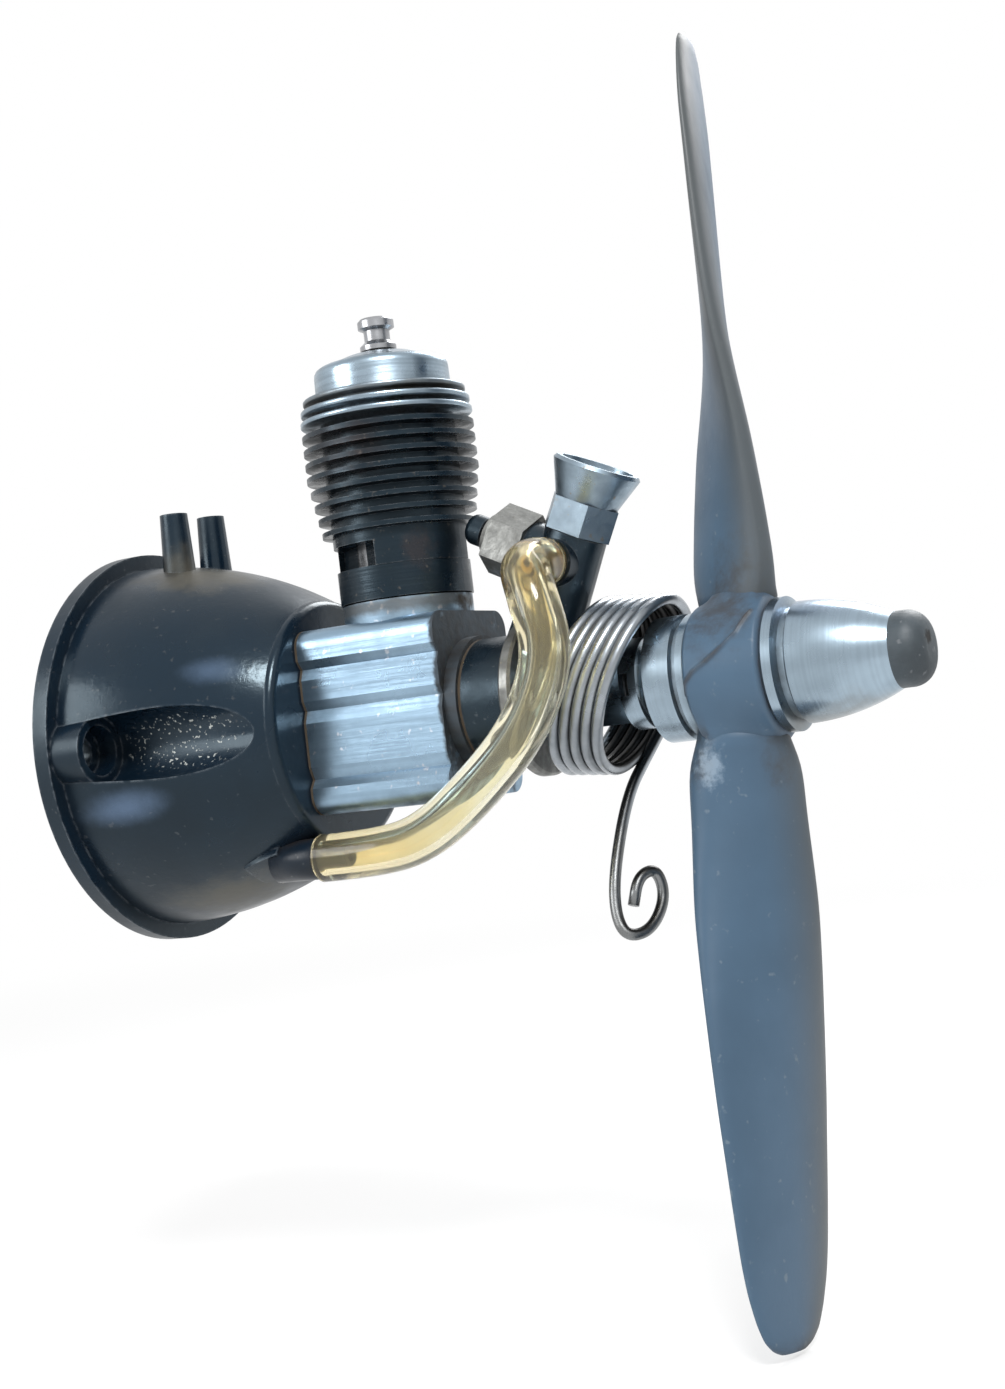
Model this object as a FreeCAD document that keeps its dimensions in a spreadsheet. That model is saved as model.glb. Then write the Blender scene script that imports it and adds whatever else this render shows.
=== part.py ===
import FreeCAD, Part
import Sketcher
import math
import os

# Model aircraft glow engine with an integral tank, a coil starter spring and a two-blade propeller.
# Millimetres. X runs forward along the crankshaft from the tank's firewall face, Z runs up the cylinder.

doc = FreeCAD.newDocument("glow_engine")
sheet = doc.addObject("Spreadsheet::Sheet", "Dims")
Vec = FreeCAD.Vector

# Driving dimensions: alias, value or formula, what it is
SIZES = (
    ("slip", 0.03, "radial running clearance of turning and sliding pieces"),
    ("seat_gap", 0.15, "clearance round pieces that drop into a seat"),
    # Tank
    ("flange_radius", 23.5, "outer radius of the tank's mounting flange"),
    ("flange_thick", 2.0, "thickness of the mounting flange"),
    ("bell_radius", 21.7, "radius of the bell where it leaves the flange"),
    ("bell_arc", 49.0, "radius of the bell's long curve"),
    ("bell_nose", 14.6, "radius of the bell where the curve meets the front edge"),
    ("bell_edge", 1.0, "rounding of the bell's front edge"),
    ("tank_length", 26.6, "firewall face to the tank's front face"),
    ("tank_wall", 1.4, "wall of the moulded tank"),
    ("lug_offset", 19.2, "mounting screw axis from the crank axis"),
    ("lug_radius", 3.95, "outer radius of the mounting screw towers"),
    ("lug_height", 6.0, "tower seat above the firewall face"),
    ("lug_screw", 1.7, "radius of the mounting screw holes"),
    ("lug_sink", 2.9, "radius of the screw head counterbore"),
    ("lug_sink_deep", 2.6, "depth of the screw head counterbore"),
    ("vent_station", 8.4, "vent tubes forward of the firewall face"),
    ("vent_offset", 3.7, "vent tubes to each side of the centre"),
    ("vent_radius", 1.65, "vent tube outer radius at its top"),
    ("vent_root", 2.0, "vent tube outer radius at the bell"),
    ("vent_bore", 0.8, "vent tube bore radius"),
    ("vent_top", 27.3, "top of the vent tubes above the crank axis"),
    ("outlet_down", 15.1, "fuel outlet below the crank axis"),
    ("outlet_side", 8.0, "fuel outlet beside the centre"),
    ("outlet_radius", 1.25, "fuel outlet nipple radius"),
    ("outlet_bore", 0.6, "fuel outlet bore radius"),
    ("outlet_reach", "=tank_length + 4.4", "station of the fuel outlet nipple's tip"),
    ("outlet_root", "=tank_length - 5.2", "station where the outlet nipple leaves the bell"),
    ("plate_thick", 1.6, "thickness of the tank's back plate"),
    ("plate_radius", 20.0, "radius of the tank's back plate"),
    ("lug_land", 5.4, "radius of the solid land round each mounting screw"),
    ("gasket_thick", 0.4, "thickness of the tank gasket"),
    ("gasket_width", 1.0, "width of the tank gasket"),
    ("pickup_radius", 0.9, "outer radius of the fuel pickup tube"),
    ("pickup_stop", 2.0, "pickup tube's front end behind the nipple's root"),
    ("pickup_socket", 6.0, "depth of the socket that holds the pickup tube"),
    ("pickup_bend", 4.0, "bend radius of the fuel pickup tube"),
    ("pickup_end", 1.0, "height of the pickup tube's open end above its bend"),
    # Long screws
    ("screw_side", 6.7, "long screws to each side of the centre"),
    ("screw_up", 8.1, "long screws above and below the crank axis"),
    ("screw_radius", 0.8, "long screw shank radius"),
    ("screw_head", 1.6, "long screw head radius"),
    ("screw_head_high", 1.0, "long screw head height"),
    ("screw_tip", "=tank_length + 6.4", "station of the long screws' tips"),
    # Crankcase
    ("joint_thick", 0.3, "thickness of the paper gaskets"),
    ("case_rear", "=tank_length + joint_thick", "station of the crankcase's rear face"),
    ("case_front", "=case_rear + 17.9", "station of the crankcase's front face"),
    ("case_top", 10.8, "flat top of the crankcase"),
    ("case_bottom", 10.3, "bottom of the crankcase below the axis"),
    ("case_half", 8.5, "half width of the crankcase over its lobes"),
    ("case_waist", 7.75, "half width of the crankcase in its flutes"),
    ("lobe_top", 6.3, "height of the flute under the top lobes"),
    ("rib_split", 1.6, "height of the flute between the ribs"),
    ("lobe_bottom", 6.2, "flute above the bottom lobes, below the axis"),
    ("corner_round", 2.2, "rounding of the crankcase's corner lobes"),
    ("chamber_half", 7.0, "half width of the crank chamber"),
    ("chamber_up", 7.7, "height of the crank chamber above the axis"),
    ("chamber_down", 7.3, "depth of the crank chamber below the axis"),
    ("chamber_corner", 2.0, "corner radius of the crank chamber"),
    ("chamber_rear", "=case_rear + 6.7", "station of the crank chamber's rear wall"),
    ("chamber_front", "=case_front - 2.8", "station of the crank chamber's front wall"),
    ("nose_radius", 7.8, "radius of the round shoulder on the nose"),
    ("nose_front", "=case_front + 1.5", "station of the shoulder's front face"),
    ("boss_radius", 7.45, "radius of the bright boss under the cylinder"),
    ("boss_top", 12.9, "top of the bright boss"),
    ("thread_radius", 6.2, "radius of the cylinder's lower thread"),
    ("bearing_radius", 4.9, "outer radius of the nose bearing under the carburettor"),
    ("bearing_step", "=nose_front + 7.9", "station where the nose bearing steps down"),
    ("bearing_slim", 4.1, "outer radius of the nose bearing inside the spring"),
    ("bearing_front", "=bearing_step + 10", "station of the nose bearing's front face"),
    # Crank train
    ("crank_throw", 4.9, "crankpin off the crank axis, half the stroke"),
    ("journal_radius", 2.9, "crankshaft journal radius"),
    ("shaft_bore", 1.7, "crankshaft gas passage radius"),
    ("disc_radius", 6.25, "crank disc radius"),
    ("disc_thick", 2.0, "crank disc thickness"),
    ("disc_rear", "=cylinder_station + 2.2", "station of the crank disc's rear face"),
    ("pin_radius", 1.0, "crankpin radius"),
    ("rod_thick", 1.8, "thickness of the connecting rod's big end"),
    ("rod_gap", 0.2, "axial gap between crankpin and connecting rod"),
    ("rod_length", 18.6, "ball centre to crankpin centre"),
    ("rod_shank", 0.85, "connecting rod shank radius"),
    ("rod_eye", 1.85, "outer radius of the big end"),
    ("ball_radius", 1.5, "radius of the connecting rod's ball"),
    ("ball_down", 3.0, "ball centre below the piston crown"),
    ("piston_length", 10.0, "piston crown to skirt"),
    ("piston_wall", 0.9, "piston wall"),
    ("retainer_thick", 0.6, "thickness of the ball retainer"),
    # Cylinder and head
    ("cylinder_station", "=case_rear + 10.3", "cylinder axis forward of the firewall face"),
    ("bore_radius", 5.155, "cylinder bore radius"),
    ("skirt_bottom", 9.4, "lower end of the cylinder in the crankcase"),
    ("collar_radius", 7.64, "radius of the black collar"),
    ("collar_top", 16.8, "floor of the exhaust windows"),
    ("window_top", 19.6, "roof of the exhaust windows"),
    ("window_turn", 55.0, "exhaust windows turned from the rear, degrees"),
    ("window_flat", 5.0, "depth of the window floor from the cylinder axis"),
    ("window_half", 5.2, "half width of the exhaust windows"),
    ("barrel_radius", 7.75, "barrel radius between the fins"),
    ("fin_radius", 9.9, "radius of the cooling fins"),
    ("fin_pitch", 1.6, "spacing of the cooling fins"),
    ("fin_thick", 0.75, "thickness of a cooling fin"),
    ("fin_low", 20.85, "underside of the lowest cooling fin"),
    ("fin_taper", 0.26, "radius lost by each lower fin"),
    ("barrel_top", 33.2, "top face of the cylinder"),
    ("head_thread", 6.3, "radius of the head's thread in the cylinder"),
    ("head_seat", 28.3, "ledge in the cylinder that the head seals on"),
    ("head_washer", 0.3, "thickness of the head gasket"),
    ("head_fin_thick", 0.75, "thickness of the head's fins"),
    ("head_drum", 7.75, "radius of the head's drum"),
    ("head_drum_top", 38.6, "top of the head's drum"),
    ("head_dome", 4.3, "radius of the flat on top of the head"),
    ("head_dome_top", 41.4, "top of the head's dome"),
    ("chamber_bowl", 3.4, "radius of the combustion bowl"),
    ("chamber_high", 3.4, "height of the combustion bowl"),
    ("post_radius", 2.1, "radius of the terminal's disc"),
    ("post_neck", 1.5, "radius of the terminal's neck"),
    ("post_stem", 0.8, "radius of the terminal's stem"),
    ("post_top", 45.6, "top of the terminal"),
    ("post_drop", 0.3, "stem below the insulator in the combustion bowl"),
    ("post_disc", 1.1, "thickness of the terminal's disc"),
    ("seal_radius", 1.5, "radius of the terminal's insulator"),
    ("coil_radius", 0.75, "radius of the glow coil"),
    ("coil_wire", 0.12, "radius of the glow coil's wire"),
    ("coil_pitch", 0.5, "pitch of the glow coil"),
    ("coil_length", 1.5, "length of the glow coil"),
    # Carburettor, in its own frame that leans forward
    ("throat_station", "=case_front + 5.9", "throat axis on the crank axis"),
    ("throat_lean", 27.0, "forward lean of the throat, degrees"),
    ("ring_radius", 7.3, "outer radius of the carburettor's ring"),
    ("ring_front", "=nose_front + 5.7", "station of the carburettor ring's front face"),
    ("tower_root", 4.2, "radius of the throat tower at the ring"),
    ("tower_radius", 3.5, "radius of the throat tower at its top"),
    ("tower_top", 19.3, "top of the throat tower along its axis"),
    ("throat_bore", 1.9, "radius of the throat's bore"),
    ("venturi_hex", 7.1, "venturi hexagon across flats"),
    ("venturi_hex_top", 23.0, "top of the venturi's hexagon"),
    ("venturi_top", 27.2, "top of the venturi"),
    ("venturi_mouth", 4.95, "radius of the venturi's mouth"),
    ("venturi_thread", 2.6, "radius of the venturi's thread"),
    ("venturi_reach", 1.6, "depth of the venturi's thread in the tower"),
    ("needle_level", 15.9, "needle axis along the throat"),
    ("valve_hex", 7.1, "needle valve body across flats"),
    ("valve_near", 4.6, "valve hexagon's front face from the throat axis"),
    ("valve_far", 9.0, "valve hexagon's rear face from the throat axis"),
    ("valve_stub", 1.9, "radius of the valve's threaded stub"),
    ("valve_collar", 2.5, "radius of the valve's rear collar"),
    ("valve_collar_end", 10.0, "rear end of the valve's collar"),
    ("needle_radius", 0.5, "needle radius"),
    ("needle_tip", 3.2, "length of the needle's taper"),
    ("knob_near", 10.7, "knob's front face from the throat axis"),
    ("knob_far", 12.9, "knob's rear face from the throat axis"),
    ("knob_radius", 1.75, "knob radius"),
    ("click_wire", 0.25, "wire radius of the needle's click spring"),
    ("jet_radius", 1.25, "fuel nipple radius"),
    ("jet_bore", 0.6, "fuel nipple bore radius"),
    ("jet_tip", 9.2, "fuel nipple's tip from the throat axis"),
    ("lock_radius", 8.8, "radius of the retaining ring"),
    ("lock_thick", 1.5, "thickness of the retaining ring"),
    ("anchor_level", 1.2, "spring anchor hole above the crank axis"),
    ("anchor_out", 7.2, "spring anchor hole from the crank axis"),
    # Fuel line and starter spring
    ("hose_radius", 2.7, "fuel line outer radius"),
    ("hose_bore", 1.3, "fuel line bore radius"),
    ("wire_radius", 0.6, "starter spring wire radius"),
    ("spring_radius", 9.6, "starter spring mean radius"),
    ("spring_pitch", 1.28, "spacing of the starter spring's turns"),
    ("spring_turns", 5.54, "starter spring turns"),
    ("spring_start", 270.0, "turn of the coil's rear end from the top towards port, degrees"),
    ("spring_rear", "=ring_front + 6.8", "station of the spring's rear turn on its centre line"),
    ("spring_rise", 0.5, "height of the spring's centre at its rear turn"),
    ("spring_lean", 24.0, "forward lean of the spring's turns, degrees"),
    ("spring_sag", 5.4, "downward slope of the spring's centre line, degrees"),
    ("leg_straight", 2.2, "straight run of the spring's leg out of its hole"),
    ("leg_reach", 4.6, "reach of the spring's leg forward of its hole"),
    ("leg_out", 1.9, "offset of the leg's bend outwards"),
    ("leg_down", 2.6, "offset of the leg's bend downwards"),
    # Front end
    ("driver_rear", "=bearing_front + 0.4", "station of the drive washer's rear face"),
    ("driver_skirt", 5.0, "radius of the drive washer's skirt"),
    ("driver_neck", "=driver_rear + 2", "station where the drive washer flares"),
    ("driver_radius", 6.75, "radius of the drive washer's face"),
    ("driver_front", "=driver_rear + 8.2", "station of the drive washer's face"),
    ("driver_groove", 0.5, "depth of the drive washer's groove"),
    ("spigot_radius", 2.3, "radius of the crankshaft's front end"),
    ("spigot_front", "=driver_front - 0.8", "station of the crankshaft's front end"),
    ("cam_width", 2.4, "width of the drive washer's notches"),
    ("cam_deep", 1.1, "depth of the drive washer's notches"),
    ("hub_front", "=driver_front + 8.6", "station of the propeller hub's front face"),
    ("hub_radius", 7.3, "propeller hub radius"),
    ("prop_radius", 69.85, "propeller tip radius"),
    ("prop_pitch", 92.0, "propeller pitch"),
    ("prop_plane", "=driver_front + 3.4", "station of the blades"),
    ("prop_rest", 5.94, "rest angle of the blades from upright, degrees"),
    ("blade_chord", 17.1, "widest chord of a blade"),
    ("twist_radius", 18.0, "radius inside which the blades keep one twist"),
    ("blade_thick", 5.9, "blade thickness at the axis, before it thins outwards"),
    ("tip_thick", 0.9, "blade thickness over its thin outer part"),
    ("thin_share", 0.86, "share of the tip radius where the blade is down to its thin part"),
    ("screw_prop", 1.25, "propeller screw radius"),
    ("screw_prop_rear", "=spigot_front - 10", "station of the propeller screw's tip"),
    ("screw_prop_front", "=hub_front + 7.6", "station of the propeller screw's end in the spinner"),
    ("spinner_rim", 7.1, "radius of the spinner's rim"),
    ("spinner_rim_front", "=hub_front + 1.6", "station of the rim's front edge"),
    ("spinner_neck", 5.9, "radius of the groove in front of the rim"),
    ("spinner_cone", 6.4, "radius of the cone behind its taper"),
    ("spinner_cone_rear", "=spinner_rim_front + 1", "station where the cone starts"),
    ("spinner_front", "=spinner_cone_rear + 10", "station of the cone's front face"),
    ("spinner_nose", 3.95, "radius of the cone's front face"),
    ("spinner_curve", 24.0, "radius of the cone's side curve"),
    ("tip_front", "=spinner_front + 3.4", "station of the rubber tip"),
    ("tip_plug", 2.0, "radius of the rubber tip's plug"),
    ("tip_plug_rear", "=spinner_front - 3.4", "station of the plug's rear end"),
)

for row, (alias, number, meaning) in enumerate(SIZES, start=1):
    sheet.set("A%d" % row, meaning)
    sheet.setAlias("B%d" % row, alias)
for row, (alias, number, meaning) in enumerate(SIZES, start=1):
    sheet.set("B%d" % row, str(number))
doc.recompute()

NAMES = sorted((entry[0] for entry in SIZES), key=len, reverse=True)
nodes = []


def bound(text):
    """Turn a formula of plain size names into one that points at the sheet."""
    words = []
    word = ""
    for letter in str(text) + " ":
        if letter.isalnum() or letter == "_":
            word += letter
            continue
        words.append("Dims." + word if word in NAMES else word)
        words.append(letter)
        word = ""
    return "".join(words).strip()


def size(text):
    """Value of a formula of size names."""
    return float(sheet.evalExpression(bound(text)))


def bind(obj, prop, text):
    """Bind a property to a formula of size names."""
    obj.setExpression(prop, bound(text))


def place(obj, spot, axis=None, angle=None):
    """Bind an object's placement: spot as three formulas, then a turn about an axis."""
    turn = FreeCAD.Rotation(Vec(*axis), size(angle)) if axis else FreeCAD.Rotation()
    obj.Placement = FreeCAD.Placement(Vec(*[size(part) for part in spot]), turn)
    for letter, part in zip("xyz", spot):
        bind(obj, "Placement.Base." + letter, part)
    if axis:
        bind(obj, "Placement.Rotation.Angle", angle)
    return obj


def keep(obj):
    """List an object as one of the engine's pieces."""
    nodes.append(obj)
    return obj


def origin_plane(body, role):
    for feature in body.Origin.OriginFeatures:
        if feature.Role == role:
            return feature


def new_sketch(body, name, role="XZ_Plane"):
    sketch = body.newObject("Sketcher::SketchObject", name)
    sketch.AttachmentSupport = (origin_plane(body, role), "")
    sketch.MapMode = "FlatFace"
    return sketch


def pin_point(sketch, line, end, x, y):
    """Fix one end of a sketch line at two formulas from the sketch's origin."""
    for kind, text in (("DistanceX", x), ("DistanceY", y)):
        index = sketch.addConstraint(Sketcher.Constraint(kind, -1, 1, line, end, size(text)))
        name = "%s_%d_%d" % (kind, line, end)
        sketch.renameConstraint(index, name)
        bind(sketch, "Constraints." + name, text)


def outline(sketch, corners):
    """Draw a closed outline. A corner is (x, y), or (x, y, radius, side) after an arc."""
    spots = [Vec(size(corner[0]), size(corner[1]), 0) for corner in corners]
    ends = []
    for number, corner in enumerate(corners):
        start = spots[number - 1]
        end = spots[number]
        if len(corner) == 2:
            line = sketch.addGeometry(Part.LineSegment(start, end), False)
            ends.append((line, 1, 2))
        else:
            radius = size(corner[2])
            side = corner[3]
            along = (end - start) * 0.5
            rise = math.sqrt(radius ** 2 - along.Length ** 2)
            centre = start + along + Vec(-along.y, along.x, 0).normalize() * rise * side
            first = math.atan2(start.y - centre.y, start.x - centre.x)
            last = math.atan2(end.y - centre.y, end.x - centre.x)
            circle = Part.Circle(centre, Vec(0, 0, 1), radius)
            if side > 0:
                line = sketch.addGeometry(Part.ArcOfCircle(circle, first, last), False)
                ends.append((line, 1, 2))
            else:
                line = sketch.addGeometry(Part.ArcOfCircle(circle, last, first), False)
                ends.append((line, 2, 1))
            index = sketch.addConstraint(Sketcher.Constraint("Radius", line, radius))
            name = "Radius_%d" % line
            sketch.renameConstraint(index, name)
            bind(sketch, "Constraints." + name, corner[2])
    for number, (line, tail, head) in enumerate(ends):
        after, after_tail, after_head = ends[(number + 1) % len(ends)]
        pin_point(sketch, line, head, corners[number][0], corners[number][1])
        sketch.addConstraint(Sketcher.Constraint("Coincident", line, head, after, after_tail))


def turned(name, corners, about="H_Axis", spot=("0", "0", "0"), axis=None, angle=None):
    """A turned piece: an outline in the XZ plane turned about X (H_Axis) or Z (V_Axis)."""
    body = doc.addObject("PartDesign::Body", name)
    sketch = new_sketch(body, name + "_profile")
    outline(sketch, corners)
    turn = body.newObject("PartDesign::Revolution", name + "_turn")
    turn.Profile = (sketch, [""])
    turn.ReferenceAxis = (sketch, [about])
    turn.Angle = 360
    return place(body, spot, axis, angle)


def padded(name, role, corners, length, spot=("0", "0", "0"), axis=None, angle=None, back=False):
    """A piece of one outline pushed out of its plane."""
    body = doc.addObject("PartDesign::Body", name)
    sketch = new_sketch(body, name + "_profile", role)
    outline(sketch, corners)
    pad = body.newObject("PartDesign::Pad", name + "_pad")
    pad.Profile = (sketch, [""])
    pad.Reversed = back
    bind(pad, "Length", length)
    return place(body, spot, axis, angle)


def rod(name, radius, length, spot, axis=None, angle=None, top=None):
    """A round bar along Z, or along another axis after a turn; top makes it taper."""
    if top:
        bar = doc.addObject("Part::Cone", name)
        bind(bar, "Radius1", radius)
        bind(bar, "Radius2", top)
    else:
        bar = doc.addObject("Part::Cylinder", name)
        bind(bar, "Radius", radius)
    bind(bar, "Height", length)
    return place(bar, spot, axis, angle)


def along_x(name, radius, length, spot, top=None):
    """A round bar that runs forward from its spot."""
    return rod(name, radius, length, spot, (0, 1, 0), "90", top)


def block(name, sizes, spot, axis=None, angle=None):
    box = doc.addObject("Part::Box", name)
    for prop, text in zip(("Length", "Width", "Height"), sizes):
        bind(box, prop, text)
    return place(box, spot, axis, angle)


def joined(name, pieces):
    fusion = doc.addObject("Part::MultiFuse", name)
    fusion.Shapes = pieces
    return fusion


def cut(name, base, tools):
    """Cut one tool, or several joined first, from a base."""
    tool = tools[0] if len(tools) == 1 else joined(name + "_tools", tools)
    result = doc.addObject("Part::Cut", name)
    result.Base = base
    result.Tool = tool
    return result


def common(name, first, second):
    result = doc.addObject("Part::Common", name)
    result.Base = first
    result.Tool = second
    return result


def carb_spot(out, up, side="0"):
    """Place in the leaning carburettor frame: out along its X, up its throat, side along Y."""
    x = "throat_station + (%s) * cos(throat_lean) + (%s) * sin(throat_lean)" % (out, up)
    z = "(%s) * cos(throat_lean) - (%s) * sin(throat_lean)" % (up, out)
    return (x, side, z)


def hexagon(name, across, length, spot, axis, angle):
    """A hexagonal bar along its own Z with the given width across flats."""
    prism = doc.addObject("Part::Prism", name)
    prism.Polygon = 6
    bind(prism, "Circumradius", "(%s) / sqrt(3)" % across)
    bind(prism, "Height", length)
    return place(prism, spot, axis, angle)


# Tank housing: a moulded bell with flange, two vents, two screw towers and a fuel outlet
bell_outer = turned("bell_outer", (
    ("0", "0"),
    ("0", "flange_radius"),
    ("flange_thick", "flange_radius"),
    ("flange_thick", "bell_radius"),
    ("tank_length - bell_edge", "bell_nose", "bell_arc", -1),
    ("tank_length", "bell_nose - bell_edge", "bell_edge", -1),
    ("tank_length", "0"),
))
bell_inner = turned("bell_inner", (
    ("plate_thick + gasket_thick", "0"),
    ("plate_thick + gasket_thick", "bell_radius - tank_wall"),
    ("tank_length - tank_wall - bell_edge", "bell_nose - tank_wall", "bell_arc", -1),
    ("tank_length - tank_wall", "bell_nose - tank_wall - bell_edge"),
    ("tank_length - tank_wall", "0"),
))
plate_seat = along_x("plate_seat", "plate_radius + seat_gap", "plate_thick + gasket_thick", ("0", "0", "0"))
towers = []
channels = []
lands = []
screw_holes = []
sinks = []
plate_lands = []
for side, sign in (("port", ""), ("starboard", "-")):
    offset = sign + "lug_offset"
    towers.append(along_x("tower_" + side, "lug_radius", "lug_height", ("0", offset, "0")))
    channels.append(along_x("channel_" + side, "lug_radius", "tank_length", ("lug_height", offset, "0")))
    lands.append(along_x("land_" + side, "lug_radius + tank_wall", "tank_length", ("0", offset, "0")))
    screw_holes.append(along_x("lug_hole_" + side, "lug_screw", "tank_length", ("0", offset, "0")))
    sinks.append(along_x("sink_" + side, "lug_sink", "lug_sink_deep",
                         ("lug_height - lug_sink_deep", offset, "0")))
bell_space = cut("bell_space", bell_inner, lands)
seat_space = cut("seat_space", plate_seat, [
    along_x("seat_land_" + side, "lug_land", "tank_length", ("0", sign + "lug_offset", "0"))
    for side, sign in (("port", ""), ("starboard", "-"))])
vents = []
vent_bores = []
for side, sign in (("port", ""), ("starboard", "-")):
    spot = ("vent_station", sign + "vent_offset", "bell_radius - 2 * tank_wall")
    vents.append(rod("vent_" + side, "vent_root", "vent_top - bell_radius + 2 * tank_wall", spot,
                     top="vent_radius"))
    vent_bores.append(rod("vent_bore_" + side, "vent_bore", "vent_top", (spot[0], spot[1], "bell_nose")))
vent_tubes = cut("vent_tubes", joined("vent_pair", vents), [bell_space])
outlet = along_x("outlet", "outlet_radius", "outlet_reach - outlet_root",
                 ("outlet_root", "-outlet_side", "-outlet_down"))
outlet_boss = along_x("outlet_boss", "outlet_radius + tank_wall", "4.5",
                      ("outlet_root - 3.6", "-outlet_side", "-outlet_down"))
outlet_block = common("outlet_block", outlet_boss, turned("bell_reach", (
    ("plate_thick", "0"),
    ("plate_thick", "bell_radius + tank_wall"),
    ("tank_length + bell_edge", "bell_nose + tank_wall"),
    ("tank_length + bell_edge", "0"),
)))
outlet_hole = along_x("outlet_hole", "outlet_bore", "outlet_reach",
                      ("outlet_root - 6", "-outlet_side", "-outlet_down"))
pickup_socket = along_x("pickup_seat", "pickup_radius", "pickup_socket",
                        ("outlet_root - pickup_stop - pickup_socket", "-outlet_side", "-outlet_down"))
case_screw_holes = []
for number, (y_sign, z_sign) in enumerate((("", ""), ("-", ""), ("", "-"), ("-", "-")), start=1):
    case_screw_holes.append(along_x("front_hole_%d" % number, "screw_radius + seat_gap", "tank_length",
                                    ("plate_thick", y_sign + "screw_side", z_sign + "screw_up")))
bell_shell = cut("bell_shell", bell_outer, [bell_space, seat_space])
tank_solid = joined("tank_solid", [bell_shell] + towers + [vent_tubes, outlet, outlet_block])
keep(cut("tank_housing", tank_solid,
         channels + screw_holes + sinks + vent_bores + [outlet_hole, pickup_socket] + case_screw_holes))

# Tank back plate, its gasket and the four long screws
plate_disc = along_x("plate_disc", "plate_radius", "plate_thick", ("0", "0", "0"))
plate_cuts = [along_x("plate_land_" + side, "lug_land + seat_gap", "plate_thick", ("0", sign + "lug_offset", "0"))
              for side, sign in (("port", ""), ("starboard", "-"))]
gasket_disc = along_x("gasket_disc", "plate_radius", "gasket_thick", ("plate_thick", "0", "0"))
gasket_hole = along_x("gasket_hole", "plate_radius - gasket_width", "gasket_thick", ("plate_thick", "0", "0"))
gasket_cuts = [along_x("gasket_land_" + side, "lug_land + seat_gap", "gasket_thick",
                       ("plate_thick", sign + "lug_offset", "0"))
               for side, sign in (("port", ""), ("starboard", "-"))]
screws = []
plate_holes = []
case_holes = []
for number, (y_sign, z_sign) in enumerate((("", ""), ("-", ""), ("", "-"), ("-", "-")), start=1):
    spot = (y_sign + "screw_side", z_sign + "screw_up")
    head = along_x("long_head_%d" % number, "screw_head", "screw_head_high", ("seat_gap",) + spot)
    slot = block("long_slot_%d" % number, ("screw_head_high / 2", "2 * screw_head", "0.5"),
                 ("0", spot[0] + " - screw_head", spot[1] + " - 0.25"))
    shank = along_x("long_shank_%d" % number, "screw_radius", "screw_tip - screw_head_high",
                    ("screw_head_high",) + spot)
    screws.append(cut("long_screw_%d" % number, joined("long_bar_%d" % number, [head, shank]), [slot]))
    plate_holes.append(along_x("plate_hole_%d" % number, "screw_radius + seat_gap", "plate_thick", ("0",) + spot))
    plate_holes.append(along_x("plate_sink_%d" % number, "screw_head + seat_gap",
                               "screw_head_high + seat_gap", ("0",) + spot))
    case_holes.append(along_x("case_hole_%d" % number, "screw_radius", "screw_tip + 1 - tank_length",
                              ("tank_length",) + spot))
keep(cut("tank_back_plate", plate_disc, plate_cuts + plate_holes))
gasket_ring = cut("gasket_ring", gasket_disc, [gasket_hole])
gasket_loops = [common("gasket_loop_" + side, along_x("gasket_eye_" + side, "lug_land + seat_gap + gasket_width",
                                                     "gasket_thick", ("plate_thick", sign + "lug_offset", "0")),
                       along_x("gasket_reach_" + side, "plate_radius", "gasket_thick", ("plate_thick", "0", "0")))
                for side, sign in (("port", ""), ("starboard", "-"))]
keep(cut("tank_gasket", joined("gasket_outline", [gasket_ring] + gasket_loops), gasket_cuts))
keep(joined("tank_screws", screws))

# Fuel pickup tube inside the tank: forward into the outlet, bent up at its rear end
pickup = doc.addObject("Part::Feature", "fuel_pickup")
bend = size("pickup_bend")
pickup_front = size("outlet_root - pickup_stop")
side_y = -size("outlet_side")
low_z = -size("outlet_down")
rear_x = size("plate_thick + gasket_thick + pickup_radius + seat_gap")
diagonal = bend * math.sin(math.radians(45))
path = Part.Wire([
    Part.LineSegment(Vec(pickup_front, side_y, low_z), Vec(rear_x + bend, side_y, low_z)).toShape(),
    Part.Arc(Vec(rear_x + bend, side_y, low_z),
             Vec(rear_x + bend - diagonal, side_y, low_z + bend - diagonal),
             Vec(rear_x, side_y, low_z + bend)).toShape(),
    Part.LineSegment(Vec(rear_x, side_y, low_z + bend),
                     Vec(rear_x, side_y, low_z + bend + size("pickup_end"))).toShape(),
])


def pipe(wire, radius, bore=0.0):
    """A round pipe along a wire that starts with a straight run."""
    start = wire.OrderedVertexes[0].Point
    edge = wire.OrderedEdges[0]
    heading = edge.tangentAt(edge.FirstParameter)
    if (edge.valueAt(edge.FirstParameter) - start).Length > 1e-6:
        heading = edge.tangentAt(edge.LastParameter) * -1
    solids = []
    for ring in (radius, bore):
        if ring > 0:
            circle = Part.Wire([Part.Circle(start, heading, ring).toShape()])
            solids.append(wire.makePipeShell([circle], True, False))
    return solids[0].cut(solids[1]) if bore > 0 else solids[0]


pickup.Shape = pipe(path, size("pickup_radius - slip"), size("outlet_bore - 0.1"))
keep(pickup)

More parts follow.
